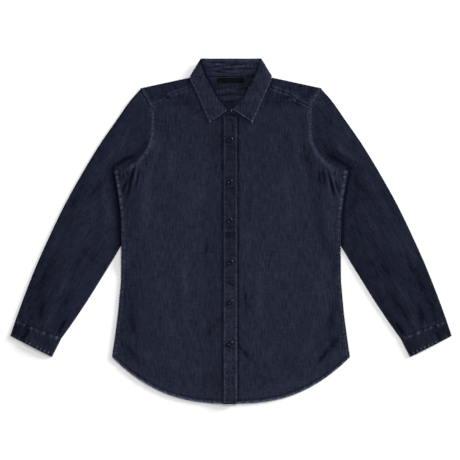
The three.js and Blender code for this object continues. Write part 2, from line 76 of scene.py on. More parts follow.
BUTTON_HEIGHTS = (196, 106, 22.5, -66, -152, -240.5)
STAND_BUTTON = (-3.3, 255, 12.8)
CLOTH = 1.0
STITCH = 2.6
STITCH_GAP = 2.0
THREAD = 0.4
WELD = 0.01

# Where the body's edge rises over the tucked sleeve, and the yoke's back over the collar
TUCK_LOW_Y = -95
TUCK_LOW_RAMP = 35
TUCK_HIGH_Y = 180
TUCK_HIGH_RAMP = 22
COLLAR_LIFT_BELOW = 24
COLLAR_LIFT_RAMP = 16
COLLAR_LIFT_SIDE = 1
COLLAR_LIFT_FADE = 10
UNDERARM_BELOW = 10
UNDERARM_BLEND = 40
HEM_LOFT = 0.15
HEM_ROLL = 60
UNDERARM_X = 252
SLEEVE_UNDERARM_Y = 131

# Waves of the puckers: pitch along each seam, and how far the left and right sides are out of step
ARM_PITCH = 7.5
ARM_LONG_PITCH = 12
YOKE_PITCH = 13
HEM_PITCH = 8
SIDE_PITCH = 10
PLACKET_PITCH = 9
ARM_STEP = 3
YOKE_STEP = 5

# Beside each seam of the body: strength, distance from the seam where it is strongest, and reach
PUCKERS = {
    "arm": (0.5, 5, 5), "yoke": (0.35, 0, 7), "hem": (0.4, 0, 7), "side": (0.35, 5, 5),
    "placket": (0.28, 0, 4),
}
FADING = {
    "arm": (0.2, 4.5, 4), "yoke": (0.12, 3, 3), "hem": (0.62, 1.6, 2.4), "side": (1, 4.5, 3),
    "placket": (1, 2.2, 1.6),
}
HEM_SHADOW = (0.12, 8, 2.6)
PLACKET_SHADOW_LEFT = (0.06, -2, 2)
PLACKET_SHADOW_RIGHT = (0.12, 2.5, 2.5)
PLACKET_RIDGE_LEFT = (0.35, 2, 1.6)
PLACKET_RIDGE_RIGHT = (0.35, -3, 1.6)
YOKE_DROP = (SEAM_DROP, 0, 2.5)

# Broad shades: strength, where each starts, and how far it takes to grow
SHOULDER_DARK = (0.05, 262, 14)
CHEST_DARK = (0.028, 60, 160)
SIDE_DARK = (0.02, 175, 40)
SLEEVE_LOW_DARK = (0.035, 0.7, 0.12)
HEM_PALE = 0.035
HEM_PALE_TOP = 60
HEM_PALE_RAMP = 50
SIDE_SEAM_FADING = 0.16
SIDE_SEAM_RISE = (0.32, 10, 60)
PLACKET_PALE = 0.075
PLACKET_PALE_TOP = 80
PLACKET_PALE_RAMP = 380
PLACKET_EDGE_LOW = 0.22
PLACKET_EDGE_HIGH = 0.1
# Colour from the relief: ridges paler as worn cloth, creases and pucker hollows darker with painted shade
# and the darker indigo that creases keep.
CREASE_PALE = 0.1
CREASE_SHADE = 0.25
FOLD_SHARE = 0.06
PUCKER_SHADE = 0.15

# Top of a front: share of it where it turns to the centre line, and the span of that turn
TOP_TURN = 0.85
TOP_TURN_SPAN = 0.15

# Sleeves and cuffs: the tube's two folds, its roundness, and where it meets the body and the cuff
TUBE_EDGE = 0.9
TUBE_FOLD = 0.8
SLEEVE_ROUND = 0.7
CUFF_ROUND = 0.6
CUFF_LOFT = 2.6
LEFT_CREASE_SHIFT = 9
BULGE_END = 0.3
JOIN_ACROSS = 0.3
JOIN_END = 0.16
JOIN_DROP_END = 0.014
CUFF_DROP_START = 0.985
CUFF_DROP_RAMP = 0.012
BODY_MARGIN = 10
BODY_MARGIN_RAMP = 30
CLEAR_OF_BODY_Y = 178
CLEAR_OF_BODY_RAMP = 25
LAP_HEIGHT = 1.3
LAP_PLACE = 0.31
LAP_RAMP = 0.03
CUFF_ACROSS = (0.891, 0.453)
CUFF_STITCH_PITCH = 8.8
CUFF_SEAM_PITCH = 15
SLEEVE_RELIEF_SHARE = 0.13

# Sleeves and cuffs: strength, place and reach of the puckers, the faded places and the dark ones
SLEEVE_ARM_PUCKER = (0.4, 3, 6)
SLEEVE_END_PUCKER = (0.5, 0, 0.035)
SLEEVE_ARM_FADING = (0.2, 2, 3)
SLEEVE_INNER_FADING = (0.24, 0, 0.03)
SLEEVE_END_FADING = (0.22, 0, 0.012)
SLEEVE_OUTER_DARK = (0.2, 0, 0.03)
# Painted shadow that the body's edge throws on the sleeve beside it
SLEEVE_BODY_SHADOW = (0.3, 0, 6)
CUFF_HEM = (0.3, 0.88, 0.06)
CUFF_SEAM_PUCKER = (0.3, 0, 0.2)
CUFF_INNER_FADING = (0.5, 0, 0.03)
CUFF_STITCHES = (1, 0.89, 0.05)
CUFF_END_FADING = (0.2, 0, 0.03)
CUFF_SEAM_FADING = (1, 0.07, 0.08)
# Painted shadow along the edge of the cuff's lap
CUFF_LAP_SHADOW = (0.24, 0.186, 0.006)

# Collar and stand: length along the roll, and strength, place and reach of what lies along it
COLLAR_LENGTH = 420
COLLAR_STITCHED = (0.3, 0, 0.16)
COLLAR_CROWN = 1.1
COLLAR_OUTER_FADING = (0.36, 0, 0.045)
COLLAR_FRONT_FADING = (1, 0, 0.006)
# Painted shadow along the collar's roll
COLLAR_ROLL_SHADOW = (0.4, 0, 0.09)
# Painted shade that darkens the collar's left half, on the side of the lamps, and lightens its right half
COLLAR_SIDE_SHADE = 0.035
STAND_TOP_FADING = (0.1, 0, 0.06)
STAND_PALE = 0.04
STAND_RELIEF_SHARE = 0.2

# The label on the inside of the yoke
LABEL_HALF_LENGTH = 28.5
LABEL_LOW = 319.3
LABEL_HIGH = 329.3
LABEL_THICKNESS = 0.8

# Denim: scale, detail and stretch of each noise, then strengths of its colour and its relief
NOISES = {
    "streak": (430, 3, (1, 0.11, 1)), "cross": (340, 2, (0.25, 1, 1)), "cloud": (40, 5, (1, 0.6, 1)),
    "crumple": (95, 4, (1, 0.7, 1)), "pucker": (210, 2, (1, 1, 1)),
}
SLUB_SHARES = {"streak": 1.7, "cross": 0.8, "cloud": 0.5}
FADED_SPREAD = (5.5, -1.75)
CREASED_SPREAD = (1.2, 0.4)
TWILL_SCALE = 160
TWILL_DISTORTION = 1.5
TWILL_TURN = 62
CRUMPLE_RELIEF = 1.1
STREAK_RELIEF = 0.35
TWILL_RELIEF = 0.12
BUMP_STRENGTH = 0.425
BUMP_DISTANCE = 0.0016

# Lamps: name, place and size in metres, power. The window is a far lamp, low at the upper right.
LAMPS = (
    ("key", (0.9, 1.2, 2.3), 0.8, 18), ("glint", (0.95, 1.15, 2.3), 0.15, 16),
    ("fill", (-1.0, -1.2, 2.4), 2.2, 20),
)
WINDOW_FROM = (0.84, 0.5, 0.23)
WINDOW_SPREAD = 17
WINDOW_STRENGTH = 6.6
ROOM_STRENGTH = 0.5
FLOOR_SHADE = 0.73
FLOOR_HALF = 3
FLOOR_DROP = 0.0002

# Camera: the photograph's 460 pixels cover 989 mm
PHOTO_PIXELS = 460
MM_PER_PIXEL = 2.15
LENS = 85
SENSOR = 36
VIEW_MIDDLE = (-0.00215, 0.00258)

# The studs that stand for a button's four holes
STUD_PLACE = 0.95
STUD_HEIGHT = 1.5
STUD_FOOT = 0.5
STUD_TOP = 0.4
STUD_DEPTH = 0.3


def rows(columns, *lines):
    """A short table: one array for each named column."""
    return {name: np.array([line[i] for line in lines], float) for i, name in enumerate(columns.split())}


# Side edge and armhole of the body, half width and height, with the height of the row at the centre
BODY_EDGE = rows(
    "x y centre",
    (255.5, -270.5, -370.4), (249.5, -229.6, -318), (242.7, -178, -250), (236.4, -109, -165),
    (235, -40, -80), (236.5, 35, 0), (242, 76, 45), (251, 130, 100), (231, 131, 118),
    (205, 148, 140), (186, 169, 165), (177, 187, 185), (174, 204, 200), (173.2, 222, 215),
    (172.8, 245, 230), (173, 266, 245),
)
SIDE_ROW_COUNT = 8
BACK_ROW_COUNT = 14
ARM_CURVE = rows(
    "x y",
    (251, 130), (231, 131), (205, 148), (186, 169), (177, 187), (174, 204), (173.2, 222),
    (172.8, 245), (173, 266), (180.2, 279), (192.4, 299.5), (194.6, 306.8),
)
FRONT_TOP = rows(
    "along x y",
    (0, 173, 266), (0.18, 145, 279), (0.3, 128, 293.5), (0.5, 88, 308), (0.62, 69, 297),
    (0.75, 50, 276), (0.88, 22, 254), (1, 0, 243),
)
WING = rows("x y", (264, 130), (208, 162), (181, 180), (174, 204))
TUCK_LIMIT = rows("x y", (240, -60), (216, -20), (203, 30), (200, 60), (196, 100), (186, 130), (176, 175))
SLEEVE = rows(
    "along out_x out_y in_x in_y",
    (0, 194.6, 306.8, 252, 131), (0.08, 215, 284, 245, 112), (0.2, 247.5, 237, 226, 84),
    (0.34, 287, 179, 208, 52), (0.48, 326, 114, 219, 2), (0.6, 358, 56, 245, -47),
    (0.72, 390, -10, 279, -103), (0.84, 422, -82, 313, -157), (0.93, 447, -146, 340, -197),
    (1, 464, -192.6, 363.5, -230),
)
CUFF = rows(
    "along out_x out_y in_x in_y",
    (0, 463.7, -191.7, 363.1, -229.3), (1, 474.9, -224.2, 383.8, -270.5),
)
CUFF_DROP = 2.1
YOKE_FOLD = rows(
    "along inward z",
    (0, 8, 0.6), (0.08, 1.2, 0.6), (0.12, 0.3, 0.95), (0.16, 0.1, 1.5), (0.2, 0.5, 2.1), (0.24, 1.4, 2.6),
)
BUTTON_PROFILE = rows(
    "radius height",
    (0, 0), (4.8, 0), (5.4, 0.4), (5.7, 1.1), (5.2, 1.75), (4.3, 2.1), (3.5, 2.35), (3.1, 2.2), (2.7, 1.6),
    (0, 1.55),
)
COLLAR = rows(
    "in_x in_y out_x out_y in_z out_z",
    (2.5, 261, 46, 232.5, 13.6, 8.2), (14, 274, 54, 252, 13.4, 8), (31, 296, 67, 281, 14.4, 8),
    (41, 317, 79, 309, 15, 7.4), (54, 341, 86, 323, 14.6, 6.6), (62, 364, 86.8, 331, 12.5, 5.2),
    (64.5, 369, 87.8, 333, 9, 3), (62, 370, 83, 331.5, 7, 0.7), (48, 370, 64, 329.5, 6.6, 0.6),
    (24, 370, 32, 328, 6.6, 0.6), (0, 370, 0, 327.5, 6.6, 0.6),
)
STAND = rows(
    "in_x in_y out_x out_y in_z out_z",
    (-11, 250, -10, 261, 7.8, 8.6), (12, 252, 11, 264, 7.8, 9.4), (33, 265, 27, 279, 7.5, 11),
    (56, 284, 38, 301, 7.3, 11.6), (70, 303, 47, 322, 6.6, 11.8), (78, 319, 57, 344, 5.2, 11),
    (79, 330, 61, 360, 3.9, 9.6), (76, 332, 60, 366, 3.2, 9), (60, 331.9, 46, 367.5, 3, 8.9),
    (30, 331.9, 23, 367.5, 3, 8.9), (0, 331.9, 0, 367.5, 3, 8.9),
)

# Folds and creases: middle, direction in degrees, half length, half width, height
FOLDS = "x y turn length width height"
BODY_FOLDS = rows(
    FOLDS,
    (-213, 112, 65, 32, 6, 2.4), (-201, 105, 76, 36, 6, 1.8), (214, 110, 114, 32, 6, 2.2),
    (202, 102, 104, 34, 6, 1.7), (-35, -198, 52, 34, 9, 1.4), (-150, -190, 98, 110, 22, 1.5),
    (165, -215, 84, 95, 22, 1.4), (92, -40, 90, 170, 26, 1), (-96, 40, 88, 150, 26, 1),
)
BODY_CREASES = rows(
    FOLDS,
    (-214.5, 108, 76, 26, 2.4, -1.9), (-226, 100, 67, 15, 2, -1.5), (-200, 114, 81, 20, 2, -1.2),
    (-232, 125, 95, 8, 1.8, -0.9), (-239, 123, 80, 8, 1.8, -0.9), (-225, 128, 110, 8, 1.8, -0.8),
    (-245, 120, 62, 8, 1.8, -0.8), (231, 125, 85, 8, 1.8, -0.9), (238, 123, 100, 8, 1.8, -0.9),
    (224, 128, 70, 8, 1.8, -0.8), (244, 120, 118, 8, 1.8, -0.8),
    (-207, 116, 78, 22, 2, 1), (-221, 112, 70, 18, 2, 0.9), (-190, 118, 88, 14, 2, -0.6),
    (213, 107, 104, 25, 2.4, -1.8), (225, 99, 113, 15, 2, -1.4), (199, 113, 99, 19, 2, -1.1),
    (206, 116, 102, 21, 2, 0.9), (219, 111, 110, 17, 2, 0.9), (189, 117, 92, 13, 2, -0.6),
    (-28, -192, 55, 26, 6, -0.35), (-46, -216, 46, 20, 7, -0.15), (-60, 262, 26, 20, 3, -0.5),
    (-138, 287, 6, 7, 3.4, -1), (-152, 272, 30, 10, 2.6, -0.5), (125, 287, 168, 10, 3, -0.6),
    (146, 271, 152, 12, 2.6, -0.5), (-214, -188, 100, 46, 9, -0.2), (-207, -205, 104, 20, 7, -0.25),
    (215, -188, 82, 44, 9, -0.35), (221, -238, 76, 26, 7, -0.3), (-216, -258, 128, 24, 6, -0.4),
    (196, -270, 54, 26, 5, -0.6), (-100, -120, 93, 60, 7, 0.5), (60, -140, 88, 70, 8, 0.5),
    (120, 80, 94, 60, 8, 0.4), (-60, 120, 86, 55, 7, 0.35), (40, 60, 91, 50, 7, -0.12),
    (-130, 150, 84, 45, 8, 0.5), (140, 170, 97, 40, 8, 0.5), (-75, -300, 12, 26, 5, 0.3),
    (85, -310, 168, 28, 5, 0.4), (-54, -40, 86, 26, 4, -0.4), (31, -150, 95, 30, 4, -0.4),
    (-60, 30, 94, 24, 5, -0.2), (30, -262, 128, 22, 3.5, -0.5),
)
# These rows only darken the colour: painted shadows in the sleeve's fold under the body's underarm corner.
SLEEVE_FOLD_SHADOWS = rows(FOLDS, (236, 149, 149, 24, 2.5, 1), (221, 157, 160, 12, 2, 0.7))
PLACKET_CREASES = rows(
    FOLDS,
    (-6, -4, 2, 8, 1.2, -0.7), (-6, -8.5, -1, 8, 1.2, -0.7), (-6, -13, 2, 8, 1.2, -0.6),
    (-5, -101, 5, 8, 1.2, -0.5), (-4, -107, -8, 9, 1.3, -0.6), (-2, -113, -18, 9, 1.4, -0.7),
    (-3, -249, -18, 12, 1.6, -1), (-2, 90, 6, 9, 1.8, -0.4),
    (-3, 182, -6, 9, 1.8, -0.3), (1, -164, 14, 9, 1.8, -0.4), (-6, 8, -10, 8, 1.8, -0.3),
)
SLEEVE_FOLDS = rows(
    FOLDS,
    (234, 146, 149, 34, 8, -2.2), (318, 58, 122, 46, 14, 1.3), (352, -38, 118, 70, 16, 1.2),
    (421, -158, 112, 55, 12, -1.6), (372, -182, 127, 42, 11, -1.4),
)
SLEEVE_CREASES = rows(
    FOLDS,
    (262, 160, 128, 34, 7, 0.7), (232, 190, 110, 30, 6, 0.6), (285, 96, 126, 40, 7, -0.6),
    (302, 20, 118, 36, 6, 0.6), (338, 66, 118, 44, 6, -0.5), (382, -30, 117, 40, 6, 0.5),
    (330, -68, 122, 36, 6, -0.6), (362, -118, 120, 40, 6, 0.6), (402, -98, 114, 40, 6, -0.6),
    (434, -162, 108, 20, 3.5, -0.4), (407, -170, 100, 19, 6, -1.2), (390, -186, 118, 24, 5, 0.8),
    (442, -176, 106, 18, 3, 0.5), (364.5, -205, 124, 19, 3.6, -1.7), (356, -152, 122, 24, 7, -0.5),
    (262, 40, 60, 26, 6, 0.5), (300, -60, 38, 22, 5, -0.4), (250, 215, 60, 20, 5, 0.4),
)
COLLAR_CREASES = rows(
    FOLDS,
    (-62, 300, 60, 18, 3, -0.4), (-72, 268, 75, 14, 3, 0.4), (60, 292, 118, 18, 3, -0.4),
    (70, 262, 104, 14, 3, 0.3), (-50, 254, 30, 10, 2.5, -0.4), (52, 252, 150, 10, 2.5, -0.4),
)
STAND_CREASES = rows(
    FOLDS,
    (-24, 361, -4, 24, 1.6, -0.8), (14, 357, 3, 26, 1.6, -0.8), (-34, 352, 6, 18, 1.6, -0.7),
    (30, 349, -6, 20, 1.6, -0.8), (-6, 347, 4, 22, 1.6, -0.7), (-28, 342, -5, 18, 1.6, -0.8),
    (22, 340, 8, 20, 1.6, -0.7), (-2, 352, -3, 18, 1.6, 0.8), (-30, 357, 3, 20, 1.6, 0.8),
    (24, 353, 2, 22, 1.6, 0.8), (2, 342, -6, 18, 1.6, 0.7), (38, 343, 9, 14, 1.6, 0.7),
)
INNER_YOKE_CREASES = rows(
    FOLDS,
    (42, 312, 60, 9, 1.6, 0.9), (49, 313, 118, 9, 1.6, 0.9), (-22, 307, 6, 22, 2.2, -0.9),
    (8, 301, -8, 24, 2.2, 0.9), (-14, 293, 8, 20, 2.2, -0.9), (16, 288, -6, 18, 2.2, 0.8),
    (-2, 278, 6, 18, 2.2, -0.9), (26, 306, 14, 14, 2, -0.8), (-8, 284, -4, 14, 2, 0.8),
)


def smooth(t):
    c = np.clip(t, 0, 1)
    return c * c * (3 - 2 * c)


def mix(a, b, t):
    return a + (b - a) * t


def near(distance, reach):
    """One at no distance, and fading away past the reach."""
    return np.exp(-(distance / reach) ** 2)


def beside(row, distance):
    """Reads a row of strength, strongest place and reach at a distance from a seam."""
    strength, peak, reach = row
    return strength * near(distance - peak, reach)


def growing(row, value):
    """Reads a row of strength, start and ramp."""
    strength, start, ramp = row
    return strength * smooth((value - start) / ramp)


def read(table, key, column, value):
    """Reads a column in straight lines, at a value of the key column."""
    order = np.argsort(table[key], kind="stable")
    return np.interp(value, table[key][order], table[column][order])


def glide(table, column, place):
    """Reads a column at a place along the table, on a smooth curve through its rows."""
    values = table[column]
    knots = table["along"]
    slopes = np.gradient(values, knots)
    i = np.clip(np.searchsorted(knots, place, side="right") - 1, 0, len(knots) - 2)
    span = knots[i + 1] - knots[i]
    t = np.clip((place - knots[i]) / span, 0, 1)
    rise = smooth(t)
    start = t * (1 - t) * (1 - t) * span * slopes[i]
    end = t * t * (t - 1) * span * slopes[i + 1]
    return mix(values[i], values[i + 1], rise) + start + end


def fold_height(folds, x, y):
    """The height that the folds of a table add up to."""
    total = np.zeros_like(np.asarray(x, float))
    for cx, cy, turn, length, width, height in zip(*folds.values()):
        angle = math.radians(turn)
        lengthwise = ((x - cx) * math.cos(angle) + (y - cy) * math.sin(angle)) / length
        across = ((y - cy) * math.cos(angle) - (x - cx) * math.sin(angle)) / width
        total = total + height * np.exp(-lengthwise**2 - across**2)
    return total


def seam_distance(points, x, y):
    """Distance from a seam and the length along it to the nearest place."""
    nearest = np.full_like(np.asarray(x, float), 1e9)
    place = np.zeros_like(nearest)
    done = 0.0
    for (ax, ay), (bx, by) in zip(points[:-1], points[1:]):
        length = math.hypot(bx - ax, by - ay)
        t = np.clip(((x - ax) * (bx - ax) + (y - ay) * (by - ay)) / length**2, 0, 1)
        distance = np.hypot(x - ax - t * (bx - ax), y - ay - t * (by - ay))
        place = np.where(distance < nearest, done + t * length, place)
        nearest = np.minimum(distance, nearest)
        done += length
    return nearest, place


def ripple(place, pitch):
    """Uneven waves along a seam, from -1 to 1."""
    a = np.sin(2 * math.pi * place / pitch)
    b = np.sin(2 * math.pi * place / (pitch * 1.73) + 1.3)
    c = np.sin(2 * math.pi * place / (pitch * 0.61) + 0.4)
    return (a + 0.8 * b + 0.5 * c) / 2.3


def hem_y(x):
    return HEM_LOWEST + HEM_RISE * np.clip(np.abs(x) / HEM_HALF_WIDTH, 0, 1) ** HEM_CURVE


def shoulder_y(x):
    return SHOULDER_Y + (SHOULDER_X - np.abs(x)) * SHOULDER_SLOPE


def side_x(y):
    side = {name: values[:SIDE_ROW_COUNT] for name, values in BODY_EDGE.items()}
    return read(side, "y", "x", y)


def arm_x(y):
    return read(ARM_CURVE, "y", "x", y)


def tuck_lift(x, y):
    """The rise of the body's edge over the sleeve that lies under it."""
    inward = smooth((np.abs(x) - read(TUCK_LIMIT, "y", "x", y) + LIFT_RAMP) / LIFT_RAMP)
    low = smooth((y - TUCK_LOW_Y) / TUCK_LOW_RAMP)
    high = 1 - smooth((y - TUCK_HIGH_Y) / TUCK_HIGH_RAMP)
    return TUCK_LIFT * inward * low * high


def collar_lift(x, y):
    """The rise of the yoke's back part over the collar's fall."""
    low = smooth((y - NECK_BACK_Y + COLLAR_LIFT_BELOW) / COLLAR_LIFT_RAMP)
    side = 1 - smooth((np.abs(x) - NECK_X - COLLAR_LIFT_SIDE) / COLLAR_LIFT_FADE)
    return (LAYER + FRONT_CLEARANCE) * low * side


def loft(x, y):
    """How far the fronts stand off the back, fading towards the edges."""
    above = smooth((y - UNDERARM_Y + UNDERARM_BELOW) / UNDERARM_BLEND)
    side = mix(side_x(y) - np.abs(x), SIDE_ROLL, above)
    hem = mix(HEM_LOFT, 1, smooth((y - hem_y(x)) / HEM_ROLL))
    return BODY_LOFT * smooth(side / SIDE_ROLL) * hem * smooth((shoulder_y(x) - y) / SHOULDER_ROLL)


def back_mid(x, y):
    return WALL / 2 + np.maximum(tuck_lift(x, y), collar_lift(x, y))


ARM_SEAM = list(zip(ARM_CURVE["x"], ARM_CURVE["y"]))
BODY_SIDE = list(zip(BODY_EDGE["x"], BODY_EDGE["y"]))[3:SIDE_ROW_COUNT]
YOKE_SEAM = list(zip(FRONT_TOP["x"], FRONT_TOP["y"]))[:4]


def seam_puckers(x, y):
    """Waves and worn fading where the body's seams draw the cloth up, with a painted shadow inside the hem
    and broad darker and paler areas.
    """
    side = np.abs(x)
    hand = np.sign(x)
    arm, arm_place = seam_distance(ARM_SEAM, side, y)
    yoke, yoke_place = seam_distance(YOKE_SEAM, side, y)
    hem = y - hem_y(x)
    edge = side_x(y) - side
    low = y < UNDERARM_Y
    band = np.minimum(np.abs(x - PLACKET_LEFT), np.abs(x - PLACKET_RIGHT))

    arm_wave = 0.6 * ripple(arm_place + ARM_STEP * hand, ARM_PITCH)
    arm_wave = arm_wave + 0.5 * ripple(arm_place + 0.7 * arm, ARM_LONG_PITCH)
    height = beside(PUCKERS["arm"], arm) * arm_wave
    height = height + beside(PUCKERS["yoke"], yoke) * ripple(yoke_place + YOKE_STEP * hand, YOKE_PITCH)
    height = height + beside(PUCKERS["hem"], hem) * ripple(x + 0.35 * y, HEM_PITCH)
    height = height + np.where(low, beside(PUCKERS["side"], edge) * ripple(y, SIDE_PITCH), 0)
    height = height + beside(PUCKERS["placket"], band) * ripple(y, PLACKET_PITCH)

    wear_and_shade = beside(FADING["arm"], arm) * (0.9 + 0.5 * arm_wave)
    wear_and_shade = np.maximum(wear_and_shade, beside(FADING["yoke"], yoke) * (1 + ripple(yoke_place, 12)))
    wear_and_shade = np.maximum(wear_and_shade, beside(FADING["hem"], hem))
    wear_and_shade = wear_and_shade - beside(HEM_SHADOW, hem) * (0.8 + 0.4 * ripple(x, 9))
    wear_and_shade = wear_and_shade + HEM_PALE * smooth((HEM_PALE_TOP - hem) / HEM_PALE_RAMP)
    wear_and_shade = wear_and_shade - growing(SHOULDER_DARK, y) - growing(CHEST_DARK, y) - growing(SIDE_DARK, side)
    dashes = (SIDE_SEAM_FADING + growing(SIDE_SEAM_RISE, y)) * (0.5 + 0.9 * ripple(y, 9.5))
    wear_and_shade = wear_and_shade + np.where(low, dashes * beside(FADING["side"], edge), 0)
    return height, wear_and_shade


def front_mid(x, y):
    level = WALL / 2 + LAYER + FRONT_CLEARANCE + tuck_lift(x, y) + loft(x, y)
    level = level + fold_height(BODY_FOLDS, x, y) + fold_height(BODY_CREASES, x, y)
    return level + seam_puckers(x, y)[0]


def lap_rise(x):
    return LAP_RISE * smooth((x - PLACKET_LEFT + LAP_BLEND) / LAP_BLEND)


def yoke_tuck(x, y):
    """The top of a front drops to go under the yoke's edge."""
    return -beside(YOKE_DROP, seam_distance(YOKE_SEAM, np.abs(x), y)[0])


def left_front_mid(x, y):
    return front_mid(x, y) + yoke_tuck(x, y)


def right_front_mid(x, y):
    return front_mid(x, y) + lap_rise(x) + yoke_tuck(x, y)


def placket_mid(x, y):
    relief = fold_height(PLACKET_CREASES, x, y)
    ridge = beside(PLACKET_RIDGE_LEFT, x - PLACKET_LEFT) + beside(PLACKET_RIDGE_RIGHT, x - PLACKET_RIGHT)
    return front_mid(x, y) + LAP_RISE + LAYER + relief + ridge


def body_wear_and_shade(x, y):
    """Faded on the ridges; darker in the creases and pucker hollows with painted shade and the indigo that
    creases keep, and painted shadows beside the placket.
    """
    height, wear_and_shade = seam_puckers(x, y)
    relief = fold_height(BODY_CREASES, x, y) + FOLD_SHARE * fold_height(BODY_FOLDS, x, y)
    creased = np.where(relief > 0, CREASE_PALE, CREASE_SHADE) * relief
    shade = beside(PLACKET_SHADOW_RIGHT, x - PLACKET_RIGHT) + beside(PLACKET_SHADOW_LEFT, x - PLACKET_LEFT)
    return wear_and_shade + creased + PUCKER_SHADE * np.minimum(height, 0) - shade * (y < PLACKET_TOP)


def weld(mesh):
    """Joins the vertices that meet at a seam and turns the faces outwards."""
    bm = bmesh.new()
    bm.from_mesh(mesh)
    bmesh.ops.remove_doubles(bm, verts=bm.verts, dist=WELD * MM)
    bmesh.ops.recalc_face_normals(bm, faces=bm.faces)
    bm.to_mesh(mesh)
    bm.free()


def add_object(name, data):
    made = bpy.data.objects.new(name, data)
    bpy.context.scene.collection.objects.link(made)
    return made


def cloth(name, columns, lines, place, wear_and_shade, ring=False):
    """A grid of cloth laid by place(u, v), which gives x, y and z in millimetres."""
    bm = bmesh.new()
    bmesh.ops.create_grid(bm, x_segments=columns, y_segments=lines, size=0.5)
    mesh = bpy.data.meshes.new(name)
    bm.to_mesh(mesh)
    bm.free()
    flat = np.empty(len(mesh.vertices) * 3)
    mesh.vertices.foreach_get("co", flat)
    u = np.clip(flat[0::3] + 0.5, 0, 1)
    v = np.clip(flat[1::3] + 0.5, 0, 1)
    x, y, z = place(u, v)
    mesh.vertices.foreach_set("co", np.stack([x, y, z], 1).ravel() * MM)
    # The attribute carries the worn fading of the seams together with painted shade and shadows.
    worn = mesh.attributes.new("wear_and_shade", "FLOAT", "POINT")
    worn.data.foreach_set("value", np.clip(wear_and_shade(x, y, u, v), -1, 1).astype(np.float32))
    if ring:
        weld(mesh)
    for polygon in mesh.polygons:
        polygon.use_smooth = True
    return add_object(name, mesh)


def thicken(piece, thickness=CLOTH):
    shell = piece.modifiers.new("cloth thickness", "SOLIDIFY")
    shell.thickness = thickness * MM
    shell.offset = 0
    return piece


def join(pieces, name):
    with bpy.context.temp_override(
        active_object=pieces[0], selected_editable_objects=pieces, selected_objects=pieces
    ):
        bpy.ops.object.join()
    pieces[0].name = name
    return pieces[0]


def panel(hand, row_count, centre_x, top, level):
    """Places a body panel between its side edge, the centre line, the hem and its top edge."""
    edge = {name: values[:row_count] for name, values in BODY_EDGE.items()}
    steps = np.hypot(np.diff(edge["x"]), np.diff(edge["y"]))
    lengths = np.concatenate([[0], np.cumsum(steps)]) / steps.sum()
    last = {name: values[-1] for name, values in edge.items()}

    def place(u, v):
        t = np.interp(v, lengths, np.linspace(0, 1, row_count))
        index = np.linspace(0, 1, row_count)
        side = {name: np.interp(t, index, values) for name, values in edge.items()}
        low_x = mix(HEM_HALF_WIDTH, hand * centre_x, u)
        low_lift = hem_y(low_x) - mix(edge["y"][0], edge["centre"][0], u)
        top_x, top_y = top(u)
        x = mix(side["x"], hand * centre_x, u) + t * (top_x - mix(last["x"], hand * centre_x, u))
        y = mix(side["y"], side["centre"], u) + (1 - t) * low_lift
        y = y + t * (top_y - mix(last["y"], last["centre"], u))
        return hand * x, y, level(hand * x, y)

    return place


def bunched(place, across=0.5, lengthwise=0.72):
    """Draws the grid's lines together towards the edges of a panel."""
    turn = 2 * math.pi

    def closer(u, v):
        return place(u - across * np.sin(turn * u) / turn, v - lengthwise * np.sin(turn * v) / turn)

    return closer


def front_top(hand, centre_x):
    def top(u):
        x = np.interp(u, FRONT_TOP["along"], FRONT_TOP["x"])
        y = np.interp(u, FRONT_TOP["along"], FRONT_TOP["y"]) + SEAM_TUCK
        return x + hand * centre_x * smooth((u - TOP_TURN) / TOP_TURN_SPAN), y

    return top


def finish_piece(piece, material, nodes):
    piece.data.materials.clear()
    piece.data.materials.append(material)
    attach(piece, "root")
    if nodes:
        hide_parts(*nodes)


def seam_wear_and_shade(x, y, u, v):
    return body_wear_and_shade(x, y)


def make_back(material):
    def top(u):
        x = mix(BODY_EDGE["x"][BACK_ROW_COUNT - 1], 0, u)
        return x, np.full_like(u, BACK_YOKE_Y - SEAM_GAP)

    halves = []
    for hand in (-1, 1):
        place = panel(hand, BACK_ROW_COUNT, 0, top, back_mid)
        halves.append(cloth(f"back_half_{hand}", 44, 90, place, seam_wear_and_shade))
    piece = join(halves, "back_panel")
    weld(piece.data)
    thicken(piece)
    finish_piece(piece, material, ["back"])


def make_fronts(material):
    count = len(BODY_EDGE["x"])
    edge = PLACKET_RIGHT - 1
    place = panel(-1, count, edge, front_top(-1, edge), right_front_mid)
    right = cloth("front_right_panel", 110, 290, bunched(place), seam_wear_and_shade)
    edge = PLACKET_LEFT + 3.5
    place = panel(1, count, edge, front_top(1, edge), left_front_mid)
    left = cloth("front_left_panel", 110, 290, bunched(place), seam_wear_and_shade)
    for piece, node in ((right, "front_right"), (left, "front_left")):
        thicken(piece)
        finish_piece(piece, material, [node])


def make_bands(material):
    def band(left, right, top, level):
        def place(u, v):
            x = mix(left, right, u)
            y = mix(hem_y(x) - 0.4, top, v)
            return x, y, level(x, y)

        return place

    def worn_edges_and_crease_shade(x, y, u, v):
        edge = np.minimum(x - PLACKET_LEFT, PLACKET_RIGHT - x)
        # The creases darken the colour with painted shade
        relief = 0.25 * fold_height(PLACKET_CREASES, x, y) + 0.03 * ripple(y, 12)
        strength = mix(PLACKET_EDGE_LOW, PLACKET_EDGE_HIGH, smooth((y + 300) / 160))
        pale = PLACKET_PALE * smooth((PLACKET_PALE_TOP - y) / PLACKET_PALE_RAMP)
        return strength * beside(FADING["placket"], edge) * (0.7 + 0.6 * ripple(y, 6)) + relief + pale

    def under(x, y):
        return front_mid(x, y) + LAYER

    place = band(PLACKET_LEFT, PLACKET_RIGHT, PLACKET_TOP, placket_mid)
    top = cloth("placket_band", 16, 300, place, worn_edges_and_crease_shade)
    place = band(PLACKET_LEFT + 4, PLACKET_RIGHT - 2, PLACKET_TOP - 4, under)
    low = cloth("under_band", 6, 200, place, worn_edges_and_crease_shade)
    for piece, node, width in ((top, "placket", 0.0294), (low, "button_band", 0.0234)):
        thicken(piece)
        finish_piece(piece, material, [node])


